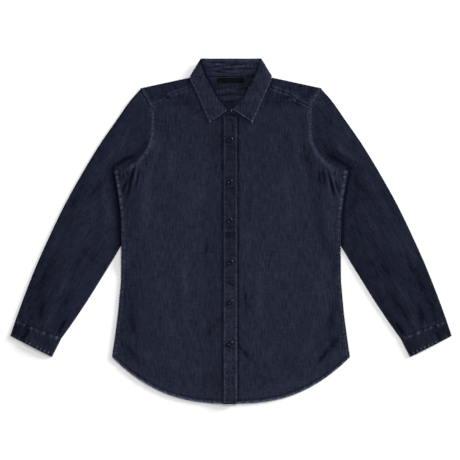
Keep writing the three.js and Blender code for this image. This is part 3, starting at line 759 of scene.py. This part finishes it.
def make_yoke(material):
    def inside(u, v):
        side = 2 * u - 1
        x = side * arm_x(mix(BACK_YOKE_Y, SHOULDER_Y - 2, v))
        neck = smooth((NECK_X + 3 - np.abs(x)) / 8)
        top = mix(shoulder_y(x) - 2, NECK_BACK_Y - 1, neck)
        y = mix(BACK_YOKE_Y, top, v)
        z = back_mid(x, y) + fold_height(INNER_YOKE_CREASES, x, y)
        return x, y, np.maximum(z, WALL / 2)

    def strip(hand):
        fold_end, fold_inward, fold_z = (values[-1] for values in YOKE_FOLD.values())

        def place(u, v):
            def across(height):
                return mix(arm_x(height), NECK_X, u)

            fold_y = shoulder_y(across(SHOULDER_Y))
            seam_x = across(YOKE_ARM_Y)
            seam_y = read({k: FRONT_TOP[k][:4] for k in ("x", "y")}, "x", "y", seam_x) + SEAM_GAP / 2
            t = np.clip((v - fold_end) / (1 - fold_end), 0, 1)
            folded = v < fold_end
            inward = np.interp(v, YOKE_FOLD["along"], YOKE_FOLD["inward"])
            on_top = across(mix(SHOULDER_Y - fold_inward, YOKE_ARM_Y, t))
            x = np.where(folded, across(SHOULDER_Y - inward), on_top)
            y = np.where(folded, fold_y - inward, mix(fold_y - fold_inward, seam_y, t))
            low = np.interp(v, YOKE_FOLD["along"], YOKE_FOLD["z"])
            z = np.where(folded, low, np.maximum(front_mid(hand * x, y), fold_z))
            return hand * x, y, z

        return place

    def inside_wear_and_shade(x, y, u, v):
        # Paler on the creases' ridges, darker in their hollows with painted shade, and a little darker
        # overall
        return 0.15 * fold_height(INNER_YOKE_CREASES, x, y) - 0.02

    parts = [cloth("yoke_inside", 180, 60, inside, inside_wear_and_shade)]
    for hand in (-1, 1):
        parts.append(cloth(f"yoke_strip_{hand}", 48, 36, strip(hand), seam_wear_and_shade))
    piece = thicken(join(parts, "yoke_panel"))
    finish_piece(piece, material, ["yoke"])


def tube(hand, table, level, bulge, thickness):
    """Places a flattened tube: v runs along it, u goes over the front and back under it."""

    def place(u, v):
        over = u < 0.5
        turn = np.where(over, u * 2, 2 - u * 2)
        s = (1 - np.cos(math.pi * turn)) / 2
        out_x = glide(table, "out_x", v)
        out_y = glide(table, "out_y", v)
        in_x = glide(table, "in_x", v)
        in_y = glide(table, "in_y", v)
        width = np.hypot(in_x - out_x, in_y - out_y)
        edge = TUBE_EDGE / width
        s = mix(edge, 1 - edge, s)
        shift = bulge(v, s)
        x = mix(out_x, in_x, s) + shift
        y = mix(out_y, in_y, s)
        z = np.where(over, level(hand, x, y, s, v), thickness / 2)
        fold = (thickness + GAP) * 0.5 + thickness / 2
        at_fold = near((s - edge) * width, TUBE_FOLD) + near((1 - edge - s) * width, TUBE_FOLD)
        z = mix(z, fold, np.clip(at_fold, 0, 1))
        return hand * x, y, z

    return place


def armhole_bulge(v, s):
    fade = 1 - smooth(v / BULGE_END)
    drop = mix(SHOULDER_Y, SLEEVE_UNDERARM_Y, s)
    return (arm_x(drop) - SEAM_TUCK - mix(SHOULDER_X, UNDERARM_X, s)) * fade


def sleeve_level(hand, x, y, s, v):
    flat = WALL / 2 + LAYER
    round_over = np.clip(4 * s * (1 - s), 0, 1) ** SLEEVE_ROUND
    lively = smooth(round_over * 2)
    shift = LEFT_CREASE_SHIFT if hand > 0 else 0
    free = flat + SLEEVE_LOFT * round_over
    free = free + fold_height(SLEEVE_FOLDS, x, y) * lively
    free = free + fold_height(SLEEVE_CREASES, x, y + shift) * lively

    arm, arm_place = seam_distance(ARM_SEAM, x, y)
    at_body = flat + loft(x, y) * smooth((1 - s) / JOIN_ACROSS)
    joined = mix(at_body, free, smooth(v / JOIN_END)) - SEAM_DROP * (1 - smooth(v / JOIN_DROP_END))
    joined = joined - CUFF_DROP * smooth((v - CUFF_DROP_START) / CUFF_DROP_RAMP) * lively
    joined = np.maximum(joined, WALL / 2 + CLOTH + 0.1)
    joined = joined + beside(SLEEVE_ARM_PUCKER, arm) * ripple(arm_place + ARM_STEP * hand, ARM_PITCH)
    joined = joined + beside(SLEEVE_END_PUCKER, 1 - v) * ripple(s * 100, 9) * lively

    body_edge = np.where(y > UNDERARM_Y, read(WING, "y", "x", y), side_x(y))
    outside = smooth((x - body_edge - BODY_MARGIN) / BODY_MARGIN_RAMP)
    clear = smooth((y - CLEAR_OF_BODY_Y) / CLEAR_OF_BODY_RAMP)
    return mix(flat, joined, np.maximum(outside, clear))


def cuff_level(hand, x, y, s, v):
    round_over = np.clip(4 * s * (1 - s), 0, 1) ** CUFF_ROUND
    lap = LAP_HEIGHT * smooth((s - LAP_PLACE) / LAP_RAMP) * smooth((1 - s) / 0.2)
    hem = beside(CUFF_HEM, v) + beside(CUFF_SEAM_PUCKER, v) * ripple(s * 100, 7)
    return WALL / 2 + LAYER + CUFF_LOFT * round_over + lap + hem * round_over


def no_bulge(v, s):
    return np.zeros_like(v)


def sleeve_wear_and_shade(x, y, u, v):
    side = np.abs(x)
    arm, place = seam_distance(ARM_SEAM, side, y)
    body = seam_distance(BODY_SIDE, side, y)[0]
    waves = ripple(place + ARM_STEP * np.sign(x), ARM_PITCH)
    shoulder = beside(SLEEVE_ARM_FADING, arm) * (0.4 + 0.8 * waves)
    inner_edge = beside(SLEEVE_INNER_FADING, np.abs(u - 0.5))
    cuff_seam = beside(SLEEVE_END_FADING, 1 - v) * (0.6 + 0.8 * ripple(u * 200, 9))
    light = np.maximum.reduce([shoulder, inner_edge, cuff_seam])
    outer_edge = beside(SLEEVE_OUTER_DARK, np.minimum(u, 1 - u)) * smooth((0.75 - v) / 0.2)
    low_end = growing(SLEEVE_LOW_DARK, v) * smooth((0.32 - u) / 0.2)
    # Painted shadows in the sleeve's fold under the body's corner and on the sleeve beside the body's edge
    fold_shadows = 0.4 * fold_height(SLEEVE_FOLD_SHADOWS, side, y)
    dark = outer_edge + low_end + beside(SLEEVE_BODY_SHADOW, body) + fold_shadows
    shift = np.where(x > 0, LEFT_CREASE_SHIFT, 0)
    # Crease relief in the colour: paler on the ridges, darker in the creases with painted shade
    relief = fold_height(SLEEVE_CREASES, side, y + shift) + 0.1 * fold_height(SLEEVE_FOLDS, side, y)
    return light - dark + SLEEVE_RELIEF_SHARE * relief


def cuff_wear_and_shade(x, y, u, v):
    across = CUFF_ACROSS[0] * np.abs(x) + CUFF_ACROSS[1] * y
    dashes = np.sin(2 * math.pi * across / CUFF_STITCH_PITCH)
    worn = smooth((u - 0.2) / 0.2)
    inner_edge = beside(CUFF_INNER_FADING, np.abs(u - 0.5))
    stitches = (0.12 + 0.5 * dashes * (0.35 + 0.65 * worn)) * beside(CUFF_STITCHES, v)
    end = beside(CUFF_END_FADING, 1 - v)
    seam = (0.14 + 0.3 * ripple(across, CUFF_SEAM_PITCH)) * beside(CUFF_SEAM_FADING, v)
    # Painted shade: the lower outer part of the cuff, beside the lap, is darker, and a painted shadow runs
    # along the lap's edge
    panel = mix(-0.05, 0.01, smooth((u - 0.17) / 0.04))
    lap = -beside(CUFF_LAP_SHADOW, u - 0.01 * np.sin(v * 6))
    return inner_edge + stitches + end + seam + panel + lap


def make_sleeves(sleeve_materials, band_material):
    for side, hand in (("right", -1), ("left", 1)):
        place = tube(hand, SLEEVE, sleeve_level, armhole_bulge, WALL)
        sleeve = cloth(f"sleeve_{side}_tube", 120, 190, place, sleeve_wear_and_shade, ring=True)
        place = tube(hand, CUFF, cuff_level, no_bulge, WALL)
        cuff = cloth(f"cuff_{side}_band", 300, 36, place, cuff_wear_and_shade, ring=True)
        thicken(sleeve)
        thicken(cuff)
        finish_piece(sleeve, sleeve_materials[side], [f"sleeve_{side}"])
        finish_piece(cuff, band_material, [f"cuff_{side}"])


def neck_rows(table, extra):
    """Places a band round the neck: u from its right end to its left, v from its seam or roll out."""
    count = len(table["in_x"])
    both = {}
    for name, values in table.items():
        sign = -1 if name.endswith("_x") else 1
        both[name] = np.concatenate([sign * values, values[::-1][1:]])
    steps = np.hypot(np.diff(both["out_x"]), np.diff(both["out_y"])) + 2
    knots = np.concatenate([[0], np.cumsum(steps)]) / steps.sum()
    both["along"] = knots

    def place(u, v):
        at = {name: glide(both, name, u) for name in both if name != "along"}
        bend = mix(v, 1 - (1 - v) ** 2, smooth((6 - at["out_z"]) / 5))
        x = mix(at["in_x"], at["out_x"], v)
        y = mix(at["in_y"], at["out_y"], v)
        z = mix(at["in_z"], at["out_z"], bend)
        middle = knots[count - 1]
        lap = np.where(u < middle, lap_rise(x) * smooth((300 - y) / 30), 0)
        return x, y, np.maximum(z + lap + extra(x, y, u, v), WALL / 2)

    return place


def make_collar(material):
    def leaf_relief(x, y, u, v):
        stitched = beside(COLLAR_STITCHED, 1 - v) * ripple(u * COLLAR_LENGTH, 8)
        rounding = COLLAR_CROWN * np.sin(math.pi * v) * smooth((330 - y) / 60)
        return fold_height(COLLAR_CREASES, x, y) + stitched + rounding

    def leaf_wear_and_shade(x, y, u, v):
        along = u * COLLAR_LENGTH
        end = np.minimum(u, 1 - u)
        outer = beside(COLLAR_OUTER_FADING, 1 - v) * (0.8 + 0.5 * ripple(along, 11))
        front = np.where(x > 0, 0.4, 0.26) * beside(COLLAR_FRONT_FADING, end)
        front = front * (0.8 + 0.5 * ripple(v * 60, 9))
        tip = np.exp(-(end / 0.01) ** 2 - ((1 - v) / 0.07) ** 2)
        patch = 0.05 + 0.1 * ripple(along, 31) * np.sin(v * 9)
        light = np.maximum.reduce([outer, front, tip, patch * 0.3])
        # Painted shadow along the roll, strongest on the right leaf, and painted shade that darkens the left
        # half and lightens the right
        roll = beside(COLLAR_ROLL_SHADOW, v) * smooth((374 - y) / 12) * np.where(x < 0, 1, 0.15)
        return light - roll - COLLAR_SIDE_SHADE * np.clip(x / 30, -1, 1)

    def stand_relief(x, y, u, v):
        return fold_height(STAND_CREASES, x, y)

    def stand_wear_and_shade(x, y, u, v):
        inside = smooth((y - 334) / 4)
        light = beside(STAND_TOP_FADING, 1 - v) + STAND_PALE * inside
        # Creases at the back of the stand: paler on their ridges, darker in their hollows with painted shade
        return light + STAND_RELIEF_SHARE * fold_height(STAND_CREASES, x, y) * inside

    fall = thicken(cloth("collar_fall", 260, 36, neck_rows(COLLAR, leaf_relief), leaf_wear_and_shade))
    stand = thicken(cloth("collar_band", 220, 18, neck_rows(STAND, stand_relief), stand_wear_and_shade))
    finish_piece(fall, material, ["collar"])
    finish_piece(stand, material, ["collar_stand"])


def make_label(material):
    def place(u, v):
        x = mix(-LABEL_HALF_LENGTH, LABEL_HALF_LENGTH, u)
        y = mix(LABEL_LOW, LABEL_HIGH, v)
        return x, y, back_mid(x, y) + LAYER + 0.1 + 0.25 * np.sin(u * 9)

    def none(x, y, u, v):
        return np.zeros_like(x)

    piece = thicken(cloth("label_tape", 40, 10, place, none), LABEL_THICKNESS)
    finish_piece(piece, material, ["neck_label"])


def make_button(name, x, y, z, material, nodes):
    """A button turned from its half section, with a small stud for each of its four holes."""
    bm = bmesh.new()
    corners = [bm.verts.new((r * MM, 0, h * MM)) for r, h in zip(*BUTTON_PROFILE.values())]
    edges = [bm.edges.new(pair) for pair in zip(corners[:-1], corners[1:])]
    bmesh.ops.spin(bm, geom=corners + edges, cent=(0, 0, 0), axis=(0, 0, 1), angle=2 * math.pi,
                   steps=40, use_merge=True)
    bmesh.ops.remove_doubles(bm, verts=bm.verts, dist=WELD * MM)
    for right, up in ((-1, -1), (-1, 1), (1, -1), (1, 1)):
        made = bmesh.ops.create_cone(bm, cap_ends=True, segments=12, radius1=STUD_FOOT * MM,
                                     radius2=STUD_TOP * MM, depth=STUD_DEPTH * MM)
        place = Vector((STUD_PLACE * right, STUD_PLACE * up, STUD_HEIGHT)) * MM
        bmesh.ops.translate(bm, verts=made["verts"], vec=place)
    bmesh.ops.recalc_face_normals(bm, faces=bm.faces)
    bmesh.ops.translate(bm, verts=bm.verts, vec=Vector((x, y, z)) * MM)
    mesh = bpy.data.meshes.new(name)
    bm.to_mesh(mesh)
    bm.free()
    for polygon in mesh.polygons:
        polygon.use_smooth = True
    mesh.set_sharp_from_angle(angle=math.radians(50))
    finish_piece(add_object(name, mesh), material, nodes)


def make_buttons(material):
    for i, y in enumerate(BUTTON_HEIGHTS, 1):
        z = float(placket_mid(np.array([BUTTON_X]), np.array([float(y)]))[0]) + CLOTH / 2 + 0.15
        make_button(f"placket_button_{i}", BUTTON_X, y, z, material, [f"button_{i}"])
    make_button("collar_button", *STAND_BUTTON, material, ["stand_button"])


def stitch_line(bm, path, level):
    """Short rounded threads along a path on the cloth, one for each stitch."""
    points = np.array(path, float)
    steps = np.hypot(*np.diff(points, axis=0).T)
    places = np.concatenate([[0], np.cumsum(steps)])
    for start in np.arange(0.5, places[-1] - STITCH, STITCH + STITCH_GAP):
        ends = [start, start + STITCH]
        xs = np.interp(ends, places, points[:, 0])
        ys = np.interp(ends, places, points[:, 1])
        z = float(np.mean(level(xs, ys))) + CLOTH / 2 + 0.1
        made = bmesh.ops.create_cone(bm, cap_ends=True, segments=5, radius1=THREAD * MM, radius2=THREAD * MM,
                                     depth=STITCH * MM)
        middle = Vector((xs.mean(), ys.mean(), z)) * MM
        turn = math.atan2(ys[1] - ys[0], xs[1] - xs[0])
        across = Vector((math.cos(turn), math.sin(turn), 0)).to_track_quat("Z", "Y").to_matrix()
        bmesh.ops.rotate(bm, verts=made["verts"], cent=(0, 0, 0), matrix=across)
        bmesh.ops.translate(bm, verts=made["verts"], vec=middle)


def thread_piece(name, lines, material):
    bm = bmesh.new()
    for path, level in lines:
        stitch_line(bm, path, level)
    mesh = bpy.data.meshes.new(name)
    bm.to_mesh(mesh)
    bm.free()
    finish_piece(add_object(name, mesh), material, [])


def make_stitching(material):
    ys = np.linspace(HEM_LOWEST + 4, PLACKET_TOP - 2, 60)
    lines = [
        ([(PLACKET_LEFT + 1.6, y) for y in ys], placket_mid),
        ([(PLACKET_RIGHT - 3, y) for y in ys], placket_mid),
    ]
    for hand, level in ((-1, right_front_mid), (1, front_mid)):
        hem = np.linspace(18, 250, 60)
        lines.append(([(hand * x, float(hem_y(x)) + 5.5) for x in hem], level))
        side = np.linspace(-262, 118, 60)
        lines.append(([(hand * (float(side_x(y)) - 6), y) for y in side], level))
        lines.append(([(hand * (x - 4), y) for x, y in ARM_SEAM[3:9]], level))
        lines.append(([(hand * x, y + 3) for x, y in YOKE_SEAM], front_mid))
    thread_piece("body_topstitching", lines, material)


def node_input(group, name, kind, default):
    socket = group.interface.new_socket(name, in_out="INPUT", socket_type=kind)
    socket.default_value = default


def denim_group():
    """Slubbed twill: colour and height from a cloth coordinate and from the worn fading and the painted
    shade that the pieces carry.
    """
    group = bpy.data.node_groups.new("slubbed denim", "ShaderNodeTree")
    group.interface.new_socket("Place", in_out="INPUT", socket_type="NodeSocketVector")
    node_input(group, "Indigo", "NodeSocketColor", (0.02, 0.02, 0.04, 1))
    node_input(group, "Faded", "NodeSocketColor", (0.08, 0.09, 0.14, 1))
    node_input(group, "Wear_and_shade", "NodeSocketFloat", 0)
    group.interface.items_tree["Wear_and_shade"].min_value = -1
    node_input(group, "Slub", "NodeSocketFloat", 0.5)
    node_input(group, "Washed", "NodeSocketFloat", 0.3)
    group.interface.new_socket("Color", in_out="OUTPUT", socket_type="NodeSocketColor")
    group.interface.new_socket("Height", in_out="OUTPUT", socket_type="NodeSocketFloat")
    nodes, links = group.nodes, group.links
    entry = nodes.new("NodeGroupInput")
    result = nodes.new("NodeGroupOutput")

    def noise(scale, detail, stretch):
        mapping = nodes.new("ShaderNodeMapping")
        mapping.inputs["Scale"].default_value = stretch
        texture = nodes.new("ShaderNodeTexNoise")
        texture.inputs["Scale"].default_value = scale
        texture.inputs["Detail"].default_value = detail
        links.new(entry.outputs["Place"], mapping.inputs["Vector"])
        links.new(mapping.outputs[0], texture.inputs["Vector"])
        return texture.outputs["Fac"]

    def math_node(kind, a, b, c=None):
        node = nodes.new("ShaderNodeMath")
        node.operation = kind
        for socket, value in zip(node.inputs, (a, b, c)):
            if value is None:
                continue
            if isinstance(value, (int, float)):
                socket.default_value = value
            else:
                links.new(value, socket)
        return node.outputs[0]

    noises = {name: noise(*settings) for name, settings in NOISES.items()}
    twill = nodes.new("ShaderNodeTexWave")
    twill.inputs["Scale"].default_value = TWILL_SCALE
    twill.inputs["Distortion"].default_value = TWILL_DISTORTION
    turned = nodes.new("ShaderNodeMapping")
    turned.inputs["Rotation"].default_value = (0, 0, math.radians(TWILL_TURN))
    links.new(entry.outputs["Place"], turned.inputs["Vector"])
    links.new(turned.outputs[0], twill.inputs["Vector"])

    slubs = 0
    for name, share in SLUB_SHARES.items():
        slubs = math_node("ADD", slubs, math_node("MULTIPLY_ADD", noises[name], share, -share / 2))
    slubs = math_node("MULTIPLY", slubs, entry.outputs["Slub"])
    faded = math_node("MAXIMUM", entry.outputs["Wear_and_shade"], 0)
    faded = math_node("MULTIPLY", faded, math_node("MULTIPLY_ADD", noises["pucker"], *FADED_SPREAD))
    # Below zero the input darkens the colour: painted shade and shadows, and the other darker places.
    creased = math_node("MINIMUM", entry.outputs["Wear_and_shade"], 0)
    creased = math_node("MULTIPLY", creased, math_node("MULTIPLY_ADD", noises["crumple"], *CREASED_SPREAD))
    worn = math_node("ADD", faded, creased)
    amount = math_node("ADD", math_node("ADD", slubs, worn), entry.outputs["Washed"])
    blend = nodes.new("ShaderNodeMix")
    blend.data_type = "RGBA"
    blend.clamp_factor = True
    links.new(amount, blend.inputs["Factor"])
    links.new(entry.outputs["Indigo"], blend.inputs["A"])
    links.new(entry.outputs["Faded"], blend.inputs["B"])
    links.new(blend.outputs["Result"], result.inputs["Color"])
    relief = math_node("MULTIPLY", noises["streak"], STREAK_RELIEF)
    relief = math_node("MULTIPLY_ADD", noises["crumple"], CRUMPLE_RELIEF, relief)
    relief = math_node("ADD", relief, math_node("MULTIPLY", twill.outputs["Fac"], TWILL_RELIEF))
    links.new(relief, result.inputs["Height"])
    return group


def denim(name, group, indigo, faded, slub, washed, turn=0):
    material = bpy.data.materials.new(name)
    material.use_nodes = True
    nodes, links = material.node_tree.nodes, material.node_tree.links
    shader = nodes["Principled BSDF"]
    shader.inputs["Roughness"].default_value = 0.9
    shader.inputs["Specular IOR Level"].default_value = 0.03
    coordinates = nodes.new("ShaderNodeTexCoord")
    mapping = nodes.new("ShaderNodeMapping")
    mapping.inputs["Rotation"].default_value = (0, 0, math.radians(turn))
    worn = nodes.new("ShaderNodeAttribute")
    worn.attribute_name = "wear_and_shade"
    weave = nodes.new("ShaderNodeGroup")
    weave.node_tree = group
    weave.inputs["Indigo"].default_value = (*indigo, 1)
    weave.inputs["Faded"].default_value = (*faded, 1)
    weave.inputs["Slub"].default_value = slub
    weave.inputs["Washed"].default_value = washed
    bump = nodes.new("ShaderNodeBump")
    bump.inputs["Strength"].default_value = BUMP_STRENGTH
    bump.inputs["Distance"].default_value = BUMP_DISTANCE
    links.new(coordinates.outputs["Object"], mapping.inputs["Vector"])
    links.new(mapping.outputs[0], weave.inputs["Place"])
    links.new(worn.outputs["Fac"], weave.inputs["Wear_and_shade"])
    links.new(weave.outputs["Color"], shader.inputs["Base Color"])
    links.new(weave.outputs["Height"], bump.inputs["Height"])
    links.new(bump.outputs["Normal"], shader.inputs["Normal"])
    return material


def button_finish():
    material = bpy.data.materials.new("polished dark button")
    material.use_nodes = True
    nodes, links = material.node_tree.nodes, material.node_tree.links
    shader = nodes["Principled BSDF"]
    shader.inputs["Specular IOR Level"].default_value = 0.12
    coordinates = nodes.new("ShaderNodeTexCoord")
    cloud = nodes.new("ShaderNodeTexNoise")
    cloud.inputs["Scale"].default_value = 500
    ramp = nodes.new("ShaderNodeValToRGB")
    ramp.color_ramp.elements[0].color = (0.0015, 0.0018, 0.005, 1)
    ramp.color_ramp.elements[1].color = (0.004, 0.005, 0.012, 1)
    rough = nodes.new("ShaderNodeMapRange")
    rough.inputs["To Min"].default_value = 0.07
    rough.inputs["To Max"].default_value = 0.13
    links.new(coordinates.outputs["Object"], cloud.inputs["Vector"])
    links.new(cloud.outputs["Fac"], ramp.inputs["Fac"])
    links.new(cloud.outputs["Fac"], rough.inputs["Value"])
    links.new(ramp.outputs["Color"], shader.inputs["Base Color"])
    links.new(rough.outputs["Result"], shader.inputs["Roughness"])
    return material


def make_stage():
    bm = bmesh.new()
    bmesh.ops.create_grid(bm, x_segments=2, y_segments=2, size=FLOOR_HALF)
    bmesh.ops.translate(bm, verts=bm.verts, vec=(0, 0, -FLOOR_DROP))
    mesh = bpy.data.meshes.new("pale floor")
    bm.to_mesh(mesh)
    bm.free()
    floor = add_object("pale floor", mesh)
    material = bpy.data.materials.new("pale paper")
    material.use_nodes = True
    shader = material.node_tree.nodes["Principled BSDF"]
    shader.inputs["Base Color"].default_value = (FLOOR_SHADE, FLOOR_SHADE, FLOOR_SHADE, 1)
    shader.inputs["Roughness"].default_value = 0.95
    mesh.materials.append(material)


def make_light(name, place, size, power):
    data = bpy.data.lights.new(name, "AREA")
    data.size = size
    data.energy = power
    light = add_object(name, data)
    light.location = place
    light.rotation_euler = (-Vector(place)).to_track_quat("-Z", "Y").to_euler()


def make_window():
    """The low light that gives the shirt its long soft shadow."""
    data = bpy.data.lights.new("low window", "SUN")
    data.angle = math.radians(WINDOW_SPREAD)
    data.energy = WINDOW_STRENGTH
    window = add_object("low window", data)
    window.rotation_euler = (-Vector(WINDOW_FROM)).to_track_quat("-Z", "Y").to_euler()


def make_room():
    world = bpy.data.worlds.new("soft room")
    world.use_nodes = True
    background = world.node_tree.nodes["Background"]
    background.inputs["Color"].default_value = (1, 1, 1, 1)
    background.inputs["Strength"].default_value = ROOM_STRENGTH
    bpy.context.scene.world = world
    bpy.context.scene.view_settings.view_transform = "Standard"


def make_camera():
    """Looks straight down from the distance at which the lens takes in the photograph's width."""
    data = bpy.data.cameras.new("camera")
    data.lens = LENS
    data.sensor_width = SENSOR
    data.sensor_fit = "HORIZONTAL"
    camera = add_object("camera", data)
    camera.location = (*VIEW_MIDDLE, LENS / SENSOR * PHOTO_PIXELS * MM_PER_PIXEL * MM)
    bpy.context.scene.camera = camera


make_camera()
twill_group = denim_group()
body_denim = denim("body denim", twill_group, (0.0026, 0.0034, 0.0085), (0.060, 0.069, 0.114), 0.2, 0.145)
collar_denim = denim("collar denim", twill_group, (0.0026, 0.0034, 0.0085), (0.080, 0.090, 0.150), 0.19, 0.1)
band_denim = denim("band denim", twill_group, (0.0024, 0.0032, 0.0080), (0.060, 0.068, 0.105), 0.17, 0.09)
sleeve_denim = {}
# The left sleeve's denim is a little darker: painted shade that evens out the stronger light on that side
for side, washed, turn in (("right", 0.15, 30), ("left", 0.13, -30)):
    name = f"{side} sleeve denim"
    sleeve_denim[side] = denim(
        name, twill_group, (0.0022, 0.0030, 0.0080), (0.042, 0.048, 0.080), 0.21, washed, turn
    )
label_cloth = denim("label tape", twill_group, (0.0010, 0.0010, 0.0012), (0.008, 0.008, 0.009), 0.3, 0.2)
thread = denim("faded thread", twill_group, (0.010, 0.012, 0.024), (0.060, 0.068, 0.100), 0.6, 0.35)

make_back(body_denim)
make_fronts(body_denim)
make_yoke(body_denim)
make_bands(band_denim)
make_sleeves(sleeve_denim, band_denim)
make_collar(collar_denim)
make_label(label_cloth)
make_buttons(button_finish())
make_stitching(thread)
make_stage()
for lamp in LAMPS:
    make_light(*lamp)
make_window()
make_room()
